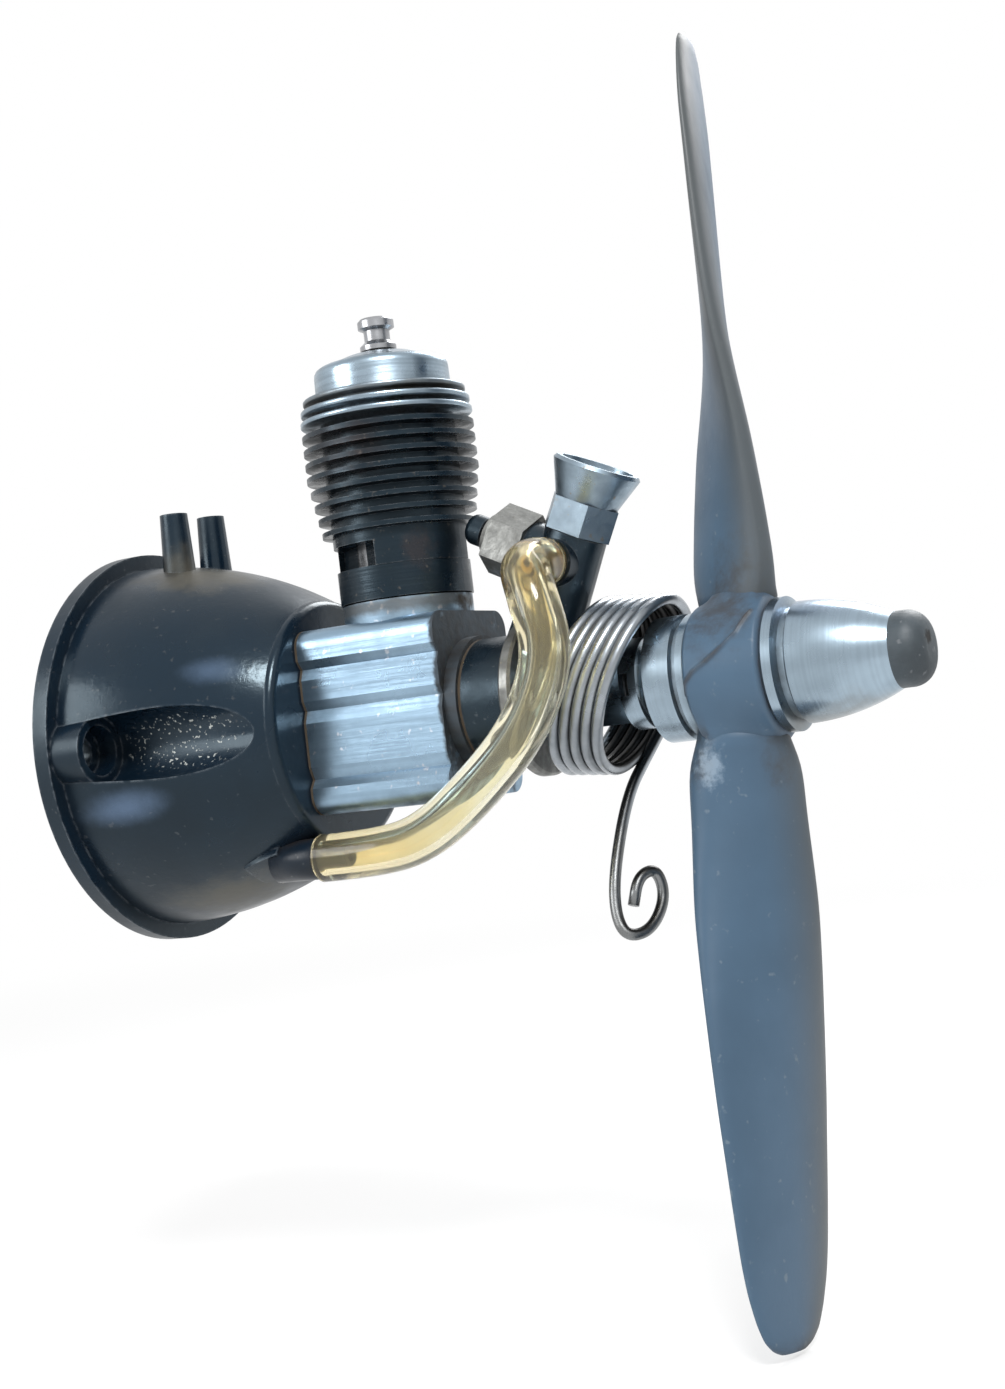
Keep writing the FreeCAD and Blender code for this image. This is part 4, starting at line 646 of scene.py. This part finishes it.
# The head's outline as radius and height in millimetres, from its thread up to the terminal's insulator
HEAD_PROFILE = (
    (1.5, 28.6), (6.1, 28.6), (6.2, 28.8), (6.2, 33.2), (7.75, 33.2), (7.75, 33.75), (9.8, 33.75),
    (9.9, 33.85), (9.9, 34.25), (9.8, 34.35), (7.8, 34.4), (7.8, 35.0), (9.65, 35.0), (9.75, 35.1),
    (9.75, 35.5), (9.65, 35.6), (7.8, 35.65), (7.8, 36.25), (9.25, 36.25), (9.35, 36.35), (9.35, 36.7),
    (9.25, 36.8), (7.85, 36.85), (7.8, 37.0), (7.75, 39.3), (7.7, 39.7), (7.5, 40.05), (7.1, 40.3),
    (6.4, 40.5), (5.5, 40.75), (4.8, 41.0), (4.3, 41.2), (3.8, 41.35), (3.2, 41.4), (1.5, 41.4),
)


class ENGINE_OT_head(bpy.types.Operator):
    """Turn the glow head: thin fins, a drum with a rounded shoulder, and a low dome round the terminal."""

    bl_idname = "engine.head"
    bl_label = "Turn Glow Head"

    def execute(self, context):
        low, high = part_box("glow_head")
        axis = np.array([(low[0] + high[0]) / 2, (low[1] + high[1]) / 2, 0.0])
        profile = np.array(HEAD_PROFILE) * MM
        rows = turned_rows(profile[:, ::-1], 128)
        rows = rows[..., [1, 2, 0]] + axis
        piece = skin("glow_head_turned", rows)
        tone = context.scene.engine_colours
        piece.data.materials.append(finish(
            "head_alloy", tone.turned, rough=0.26, metal=1.0, dark=0.62, grime_and_shade=1.0, grime_and_shade_reach=0.0018,
            bump=0.03, mottle=230.0, rings=(0.04, 0.04, 2.6), ring_depth=0.22,
            patches=[((0.1, 0.085, 0.065), 0.6, 0.5,
                      spot((37.2, 0.0, 36.2), (0.0, 0.0, 1.0), 0.1, 0.9, 1.0, 420.0))]))
        seat(piece, "engine", "turned_alloy", "glow_head")
        return {"FINISHED"}


# Rear and front end of the propeller's hub
HUB_ENDS = (0.0728, 0.0814)

# Blade stations from the axis: radius and chord in millimetres, twist in degrees, thickness in millimetres
BLADE_STATIONS = np.array([
    (4.5, 8.8, 60.0, 4.6),
    (7.0, 9.4, 60.0, 5.2),
    (9.0, 11.2, 60.0, 5.2),
    (11.0, 12.0, 58.5, 5.0),
    (16.0, 12.4, 52.5, 4.5),
    (20.0, 13.2, 46.5, 4.0),
    (25.0, 14.4, 39.5, 3.5),
    (30.0, 15.4, 31.5, 3.1),
    (35.0, 16.5, 24.5, 2.8),
    (40.0, 17.0, 20.5, 2.6),
    (45.0, 16.9, 18.3, 2.4),
    (50.0, 16.4, 16.5, 2.2),
    (55.0, 15.8, 15.0, 2.0),
    (60.0, 15.1, 13.4, 1.7),
    (63.0, 14.0, 12.9, 1.5),
    (66.0, 12.0, 12.4, 1.3),
    (68.0, 9.8, 12.1, 1.25),
    (69.2, 6.9, 12.0, 1.1),
    (69.7, 4.2, 12.0, 0.8),
])


def blade_rows(sizes, turn):
    """Rows of points of one blade: each row is a flat-backed section at one radius.

    point(r, a) = r * out + chord(r) / 2 * cos a * along(r) + thick(r) * lift(a) * face(r), where lift is
    0.72 * |sin a| ** 0.8 on the front face and -0.28 of it on the rear face.
    """
    plan = BLADE_STATIONS
    share = np.linspace(0, 1, 90)
    radius = plan[0, 0] + (plan[-1, 0] - plan[0, 0]) * np.sin(share * np.pi / 2) ** 1.15
    chord, twist, thick = (np.interp(radius, plan[:, 0], plan[:, column]) for column in (1, 2, 3))
    smooth = np.array([1.0, 2.0, 3.0, 2.0, 1.0]) / 9.0
    for values in (chord, twist, thick):
        values[2:-2] = np.convolve(values, smooth, "valid")
    chord = chord * sizes.prop_chord / plan[:, 1].max()
    radius = radius * sizes.prop_radius / plan[-1, 0]
    twist = np.radians(twist)
    flare = 1 + 0.3 * np.exp(-np.abs(radius - sizes.hub_radius) / (1.2 * MM))
    angle = np.linspace(0, 2 * np.pi, 56, endpoint=False)
    lift = np.abs(np.sin(angle)) ** 0.8 * np.where(np.sin(angle) > 0, 0.72, -0.28)
    out = np.array([0.0, math.sin(turn), math.cos(turn)])
    around = np.array([0.0, -math.cos(turn), math.sin(turn)])
    ahead = np.array([1.0, 0.0, 0.0])
    along = np.sin(twist)[:, None] * ahead + np.cos(twist)[:, None] * around
    face = np.cos(twist)[:, None] * ahead - np.sin(twist)[:, None] * around
    middle = np.array([sizes.prop_plane, 0.0, 0.0]) + radius[:, None] * out
    return (middle[:, None] + (chord / 2)[:, None, None] * np.cos(angle)[None, :, None] * along[:, None]
            + (thick * flare * MM)[:, None, None] * lift[None, :, None] * face[:, None])


# The moulding's ridge across the hub: station in millimetres and angle about the crank axis in degrees
HUB_RIDGE = np.array([
    (80.3, -38.0),
    (79.8, -45.3),
    (79.0, -58.7),
    (77.7, -68.8),
    (75.9, -79.4),
    (74.2, -87.6),
    (73.2, -95.5),
    (72.8, -107.0),
])


def hub_rows(sizes):
    """Rows of the hub, with a hollow fillet round each blade's root, and the dirt by its moulding ridge.

    point(x, a) = x along the axis, radius(x) + fillet * exp(-d / fade) + ridge * exp(-(r / width) ** 2)
    away from it, where d is the distance on the unrolled hub from a blade's root and r the distance from
    the ridge's line.
    """
    rear, front = HUB_ENDS
    run = np.sin(np.linspace(-np.pi / 2, np.pi / 2, 80)) * 0.5 + 0.5
    station = rear + (front - rear) * run
    end = np.minimum(station - rear, front - station)
    edge = 0.6 * MM
    radius = sizes.hub_radius - edge * (1 - (end / edge).clip(0, 1)) ** 2
    angle = np.linspace(0, 2 * np.pi, 360, endpoint=False)
    _, chord, twist, thick = BLADE_STATIONS[1]
    twist = math.radians(twist)
    half_long, half_wide, forward = 0.36 * chord * MM, 0.32 * thick * MM, 0.22 * thick * MM
    root_radius, fillet, fade = 2.2 * MM, 2.7 * MM, 1.45 * MM
    ridge, ridge_width, dirt_width = 0.26 * MM, 0.2 * MM, 0.38 * MM
    hole_radius = 1.5 * MM
    lift = np.zeros((len(station), len(angle)))
    for turn in (sizes.prop_rest, sizes.prop_rest + math.pi):
        around = ((angle - turn + np.pi) % (2 * np.pi) - np.pi)[None] * sizes.hub_radius
        ahead = (station - sizes.prop_plane)[:, None]
        along = (ahead * math.sin(twist) - around * math.cos(twist)) / half_long
        across = (ahead * math.cos(twist) + around * math.sin(twist) - forward) / half_wide
        away = (np.hypot(along, across) - 1).clip(0) * root_radius
        lift = np.maximum(lift, fillet * np.exp(-away / fade))
    lift *= (end / (1.6 * MM)).clip(0, 1)[:, None]
    steps = np.linspace(0, len(HUB_RIDGE) - 1, 160)
    corners = np.arange(len(HUB_RIDGE))
    ridge_station = np.interp(steps, corners, HUB_RIDGE[:, 0]) * MM
    ridge_angle = np.radians(np.interp(steps, corners, HUB_RIDGE[:, 1]))
    turned = ((angle[:, None] - ridge_angle + np.pi) % (2 * np.pi) - np.pi) * sizes.hub_radius
    gap = np.stack([np.hypot(turned, place - ridge_station).min(1) for place in station])
    reach = radius[:, None] + lift + ridge * np.exp(-(gap / ridge_width) ** 2)
    dirt = (0.33 + 0.07 * np.sin(station / MM * 1.9))[:, None] * np.exp(-(gap / dirt_width) ** 2)
    body = np.stack([np.broadcast_to(station[:, None], reach.shape), reach * np.sin(angle),
                     reach * np.cos(angle)], -1)
    hole = hole_radius * np.stack([np.zeros_like(angle), np.sin(angle), np.cos(angle)], -1)
    rows = np.concatenate([(hole + [rear, 0, 0])[None], body, (hole + [front, 0, 0])[None]])
    return rows, np.pad(dirt, ((1, 1), (0, 0)))


def turned_rows(profile, around):
    """Rows of a turned shape: each (station, radius) of the profile carries a circle about the axis."""
    profile = np.asarray(profile, float)
    angle = np.linspace(0, 2 * np.pi, around, endpoint=False)
    ring = np.stack([np.zeros(around), np.cos(angle), np.sin(angle)], -1)
    rows = profile[:, 1, None, None] * ring[None]
    rows[..., 0] = profile[:, 0, None]
    return rows


def propeller_nylon(tone):
    """Slate nylon, brown towards one edge, with oily dirt and a scuff at the blades' roots."""
    dark_brown = tone.grime_and_shade
    scuff = (0.24, 0.31, 0.38)
    return finish(
        "propeller_nylon", tone.blade, rough=0.46, dark=0.8, worn=(0.2, 0.26, 0.31), edge=0.35,
        edge_radius=0.0005, grime_and_shade=0.95, grime_and_shade_reach=0.0028, bump=0.05, mottle=45.0, speckle=900.0,
        speckle_colour=(0.1, 0.14, 0.18),
        patches=[
            (dark_brown, 0.68, 0.6, spot((76.5, -5.5, 9.2), (0.7, 0.6, 0.55), 0.2, 4.8, 9.0, 420.0)),
            (dark_brown, 0.65, 0.6, spot((72.8, -5.5, -8.6), (1.0, 0.6, 0.7), 0.2, 2.6, 5.0, 520.0)),
            (dark_brown, 0.65, 0.6, spot((81.5, -4.0, -10.0), (1.0, 0.6, 0.6), 0.2, 2.6, 4.0, 520.0)),
            (scuff, 0.65, 0.5, spot((74.1, -5.5, -9.5), (1.0, 0.8, 0.7), 0.2, 2.0, 5.0, 900.0)),
        ],
        shaded=[("overlay", (0.07, 0.074, 0.072), 0.9), ("dirt", dark_brown, 0.85)],
        Specular_IOR_Level=0.3)


class ENGINE_OT_propeller(bpy.types.Operator):
    """Mould the two twisted blades and their hub."""

    bl_idname = "engine.propeller"
    bl_label = "Mould Propeller"

    def execute(self, context):
        sizes = context.scene.engine_sizes
        rows, dirt = hub_rows(sizes)
        pieces = [skin("propeller_hub", rows)]
        mark(pieces[0], "dirt", dirt)
        for name, turn in (("upper", sizes.prop_rest), ("lower", sizes.prop_rest + math.pi)):
            rows = blade_rows(sizes, turn)
            blade = skin("propeller_blade_" + name, rows)
            side = np.cos(np.linspace(0, 2 * np.pi, rows.shape[1], endpoint=False))
            outwards = np.linspace(0.7, 1.0, len(rows))
            mark(blade, "overlay", 0.6 * outwards[:, None] * (side * 0.75 + 0.25).clip(0)[None] ** 1.3)
            pieces.append(blade)
        nylon = propeller_nylon(context.scene.engine_colours)
        for piece in pieces:
            piece.data.materials.append(nylon)
            seat(piece, "rotor", "prop_plastic", "propeller")
        return {"FINISHED"}


# Finishes of the solids

def tank_plastic(tone):
    """Blue-black plastic with a brownish haze above and below, painted bluish highlights, and dust in the
    screw pocket.
    """
    pocket_haze = (0.04, 0.058, 0.078)
    painted_highlight = (0.085, 0.13, 0.21)
    brown_haze = (0.08, 0.07, 0.05)
    return finish(
        "tank_plastic", tone.tank, rough=0.25, dark=0.6, worn=(0.15, 0.17, 0.19), edge=0.6,
        edge_radius=0.0004, grime_and_shade=0.15, bump=0.05, mottle=60.0, speckle=1100.0,
        speckle_colour=(0.03, 0.034, 0.04), scratches=0.5, rough_spread=0.16,
        patches=[
            (pocket_haze, 0.35, 0.5, spot((15.0, -16.5, 0.0), (0.42, 1.0, 1.0), 1.0, 4.2, 3.0, 900.0)),
            # This patch and the last one make a brownish haze below and above.
            (brown_haze, 0.7, 0.5, spot((15.0, -8.0, -19.0), (0.5, 0.6, 1.2), 1.0, 5.6, 6.0, 260.0)),
            # The two bluish patches are painted highlights.
            (painted_highlight, 0.75, 0.22, spot((8.5, -19.0, -6.6), (0.5, 1.0, 1.3), 0.3, 3.6, 1.6, 300.0)),
            (painted_highlight, 0.55, 0.22, spot((19.5, -15.0, 7.2), (0.55, 0.8, 1.3), 0.2, 2.8, 1.6, 300.0)),
            (brown_haze, 0.7, 0.5, spot((14.0, -6.0, 20.0), (0.5, 0.6, 1.2), 1.0, 5.6, 6.0, 260.0)),
        ],
        dust=spot((15.0, -16.0, 0.0), (0.42, 1.0, 1.1), 2.6, 4.0, 2.0, 900.0),
        Specular_IOR_Level=0.38, Specular_Tint=(0.72, 0.9, 1.0))


def crankcase_alloy(tone):
    """Satin extruded alloy, darker along the bottom, with soot and painted shade on its front face and burnt
    oil round the cylinder's foot.
    """
    dark_brown = tone.grime_and_shade
    burnt = (0.09, 0.075, 0.055)
    return finish(
        "crankcase_alloy", tone.cast, rough=0.27, metal=1.0, dark=0.72, grime_and_shade=1.0, grime_and_shade_reach=0.004,
        bump=0.05, mottle=110.0, scratches=0.6, speckle=900.0, speckle_colour=(0.6, 0.64, 0.7),
        rings=(0.04, 0.9, 0.9), ring_depth=0.18,
        patches=[
            # Darker along the bottom.
            (dark_brown, 0.9, 0.7, spot((35.7, 0.0, -11.2), (0.12, 0.25, 1.0), 0.4, 2.2, 3.0, 420.0)),
            (burnt, 0.75, 0.6, spot((37.2, 0.0, 12.2), (0.0, 0.0, 1.0), 0.2, 1.3, 1.6, 300.0)),
            # Painted shade on the front face, with soot.
            (dark_brown, 0.85, 0.7, spot((46.6, 0.0, 4.0), (1.0, 0.06, 0.12), 2.1, 2.6, 1.4, 420.0)),
        ])


def spinner_alloy(tone):
    """Bright turned alloy, browner below, with a painted bluish reflection above."""
    brown, painted_reflection = (0.17, 0.145, 0.105), (0.2, 0.27, 0.38)
    return finish(
        "spinner_alloy", tone.turned, rough=0.2, metal=1.0, dark=0.72, grime_and_shade=1.0, grime_and_shade_reach=0.0014,
        bump=0.012, mottle=110.0, scratches=0.8, rings=(2.8, 0.03, 0.03), ring_depth=0.1,
        patches=[
            (brown, 0.55, 0.4, spot((89.0, -2.0, -7.0), (0.25, 0.5, 1.0), 0.8, 4.0, 4.0, 260.0)),
            # Painted bluish reflection on the upper side.
            (painted_reflection, 0.55, 0.16, spot((89.0, -4.0, 6.6), (0.15, 0.5, 1.0), 0.6, 3.2, 1.0, 200.0)),
        ])


def venturi_alloy(tone):
    """Satin turned alloy."""
    return finish(
        "venturi_alloy", shade(tone.turned, 0.82), rough=0.32, metal=1.0,
        dark=0.66, grime_and_shade=1.0, grime_and_shade_reach=0.0014, bump=0.04, mottle=260.0, speckle=1500.0,
        speckle_colour=(0.25, 0.24, 0.22))


def valve_alloy():
    """Dull grey alloy, mottled brown."""
    return finish(
        "valve_alloy", (0.26, 0.265, 0.255), rough=0.42, metal=0.9, dark=0.55, grime_and_shade=1.0, bump=0.14,
        mottle=420.0, speckle=1200.0, speckle_colour=(0.2, 0.18, 0.15), rough_spread=0.2)


def black_oxide(tone):
    """Oxidised steel with bright worn edges and two rusty spots."""
    rust = (0.16, 0.075, 0.035)
    return finish(
        "black_oxide", tone.black, rough=0.27, metal=0.0, dark=0.5, worn=(0.2, 0.21, 0.22), edge=0.55,
        edge_radius=0.00012, grime_and_shade=0.0, bump=0.05, mottle=240.0, speckle=1400.0,
        speckle_colour=(0.05, 0.045, 0.04), rings=(0.04, 0.04, 2.2), ring_depth=0.1,
        patches=[
            (rust, 0.12, 0.4, spot((37.2, -7.8, 30.5), (1.0, 1.0, 1.0), 1.0, 5.5, 8.0, 600.0)),
            (rust, 0.1, 0.4, spot((43.0, -6.0, 18.0), (1.0, 1.0, 1.0), 0.5, 2.8, 4.0, 800.0)),
        ],
        Specular_IOR_Level=0.4, Specular_Tint=(0.62, 0.84, 1.0))


def black_moulding(tone):
    """Black moulded plastic with worn edges."""
    return finish(
        "black_moulding", tone.black, rough=0.3, dark=0.6, worn=(0.1, 0.1, 0.1), edge=0.6,
        edge_radius=0.00025, grime_and_shade=0.2, bump=0.06, mottle=200.0, speckle=1500.0,
        speckle_colour=(0.04, 0.045, 0.05), Specular_Tint=(0.62, 0.84, 1.0))


def tip_rubber(tone):
    """Dark rubber with a black nick in its nose."""
    nick = spot((97.4, -0.8, 0.9), (0.7, 1.0, 1.4), 0.5, 1.3, 1.2, 1500.0)
    return finish(
        "rubber", tone.rubber, rough=0.55, dark=0.5, grime_and_shade=0.4, bump=0.15, speckle=900.0,
        speckle_colour=(0.1, 0.11, 0.12), patches=[((0.004, 0.004, 0.004), 1.0, 0.9, nick)])


class ENGINE_OT_finishes(bpy.types.Operator):
    """Give every carried-over solid its finish."""

    bl_idname = "engine.finishes"
    bl_label = "Finish Solids"

    def execute(self, context):
        tone = context.scene.engine_colours
        dress(tank_plastic(tone), "tank_housing", "tank_back_plate")
        dress(crankcase_alloy(tone), "crankcase")
        dress(spinner_alloy(tone), "spinner", "drive_washer")
        dress(venturi_alloy(tone), "venturi")
        dress(valve_alloy(), "needle_valve_body", "spring_plate")
        dress(black_oxide(tone), "cylinder")
        dress(black_moulding(tone), "carburettor_body", "needle_knob", "tank_screws")
        dress(finish("bright_steel", tone.steel, rough=0.24, metal=1.0, dark=0.7, grime_and_shade=0.8, mottle=300.0),
              "crankshaft", "piston", "ball_retainer", "connecting_rod", "needle", "needle_click_spring",
              "propeller_screw", "glow_post")
        dress(finish("brass", tone.brass, rough=0.3, metal=1.0), "fuel_nipple", "fuel_pickup")
        dress(tip_rubber(tone), "spinner_tip")
        dress(finish("gasket_paper", (0.075, 0.055, 0.035), rough=0.8, bump=0.1, grime_and_shade=0.4),
              "tank_gasket", "case_gasket", "carburettor_gasket", "glow_insulator")
        dress(finish("copper", (0.6, 0.3, 0.15), rough=0.35, metal=1.0), "head_gasket")
        dress(finish("platinum", (0.6, 0.6, 0.6), rough=0.3, metal=1.0), "glow_filament")
        return {"FINISHED"}


# Stage

def seen_plainly(tree):
    """1 for rays from the camera, off a mirror or through the tubing, and 0 for the light on the scene."""
    rays = tree.nodes.new("ShaderNodeLightPath")
    bounced = maths(tree, "MAXIMUM", rays.outputs["Is Glossy Ray"], rays.outputs["Is Transmission Ray"])
    return maths(tree, "MAXIMUM", rays.outputs["Is Camera Ray"], bounced)


def backdrop_material():
    """Pale paper that holds the object's shadow and fades into the white background away from it."""
    material = bpy.data.materials.new("studio_paper")
    material.use_nodes = True
    tree = material.node_tree
    tree.nodes.clear()
    place = tree.nodes.new("ShaderNodeTexCoord")
    far = vector_maths(tree, "LENGTH", place.outputs["Object"])
    share = maths(tree, "MULTIPLY", seen_plainly(tree), ramp(tree, far, 0.1, 0.6, 0.5, 1.0))
    paper = node(tree, "ShaderNodeBsdfDiffuse", [("Color", (0.82, 0.82, 0.82))])
    white = tree.nodes.new("ShaderNodeEmission")
    mixed = node(tree, "ShaderNodeMixShader", [(0, share), (1, paper.outputs[0]), (2, white.outputs[0])])
    node(tree, "ShaderNodeOutputMaterial", [("Surface", mixed.outputs[0])])
    return material


# The floor's radius, its drop below the object, and the point on the axis that it lies under
FLOOR_RADIUS = 2.5
FLOOR_DROP = 0.4 * MM
AIM = np.array([50.0, 0.0, 0.0]) * MM

# Each lamp's name, place, width and power
LAMPS = (
    ("key", (0.3, -0.35, 0.42), 0.2, 3.4),
    ("fill", (-0.3, -0.4, 0.2), 0.3, 1.2),
    ("rim", (0.1, 0.4, 0.35), 0.3, 2.2),
)


class ENGINE_OT_stage(bpy.types.Operator):
    """Set the pale floor, the world and the soft lamps."""

    bl_idname = "engine.stage"
    bl_label = "Set Stage"

    def execute(self, context):
        angle = np.linspace(0, 2 * np.pi, 64, endpoint=False)
        disc = AIM + FLOOR_RADIUS * np.stack([np.cos(angle), np.sin(angle), np.zeros(64)], -1)
        disc[:, 2] = cad_box[0].z - FLOOR_DROP
        mesh = bpy.data.meshes.new("floor")
        mesh.from_pydata(disc, [], [list(range(64))])
        floor = bpy.data.objects.new("floor", mesh)
        context.scene.collection.objects.link(floor)
        floor.data.materials.append(backdrop_material())
        world = bpy.data.worlds.new("studio")
        world.use_nodes = True
        tree = world.node_tree
        feed_named(tree, tree.nodes["Background"], Color=(1.0, 1.0, 1.0),
                   Strength=ramp(tree, seen_plainly(tree), 0.0, 1.0, 0.5, 1.0))
        context.scene.world = world
        for name, place, width, power in LAMPS:
            data = bpy.data.lights.new(name, "AREA")
            data.shape = "DISK"
            data.size = width
            data.energy = power
            lamp = bpy.data.objects.new(name, data)
            context.scene.collection.objects.link(lamp)
            away = np.array(place) - AIM
            away /= np.linalg.norm(away)
            right = np.cross([0, 0, 1.0], away)
            right /= np.linalg.norm(right)
            lamp.matrix_world = pose(right, np.cross(away, right), place)
        context.scene.view_settings.view_transform = "Standard"
        return {"FINISHED"}


# Panel and running order

class ENGINE_PT_panel(bpy.types.Panel):
    """Lists the operators in the 3D view's sidebar."""

    bl_idname = "ENGINE_PT_panel"
    bl_label = "Glow Engine"
    bl_space_type = "VIEW_3D"
    bl_region_type = "UI"
    bl_category = "Engine"

    def draw(self, context):
        for step in STEPS:
            self.layout.operator(step.bl_idname)


STEPS = (
    ENGINE_OT_camera,
    ENGINE_OT_fuel_line,
    ENGINE_OT_outlet,
    ENGINE_OT_finishes,
    ENGINE_OT_spring,
    ENGINE_OT_head,
    ENGINE_OT_propeller,
    ENGINE_OT_stage,
)
CLASSES = (EngineSizes, EngineColours, *STEPS, ENGINE_PT_panel)


def register():
    """Register the classes and put the two property groups on the scene."""
    for each in CLASSES:
        bpy.utils.register_class(each)
    bpy.types.Scene.engine_sizes = PointerProperty(type=EngineSizes)
    bpy.types.Scene.engine_colours = PointerProperty(type=EngineColours)


def unregister():
    """Undo register."""
    del bpy.types.Scene.engine_colours
    del bpy.types.Scene.engine_sizes
    for each in reversed(CLASSES):
        bpy.utils.unregister_class(each)


def main():
    """Build everything in order."""
    register()
    for step in STEPS:
        area, action = step.bl_idname.split(".")
        getattr(getattr(bpy.ops, area), action)()


if __name__ == "__main__":
    main()
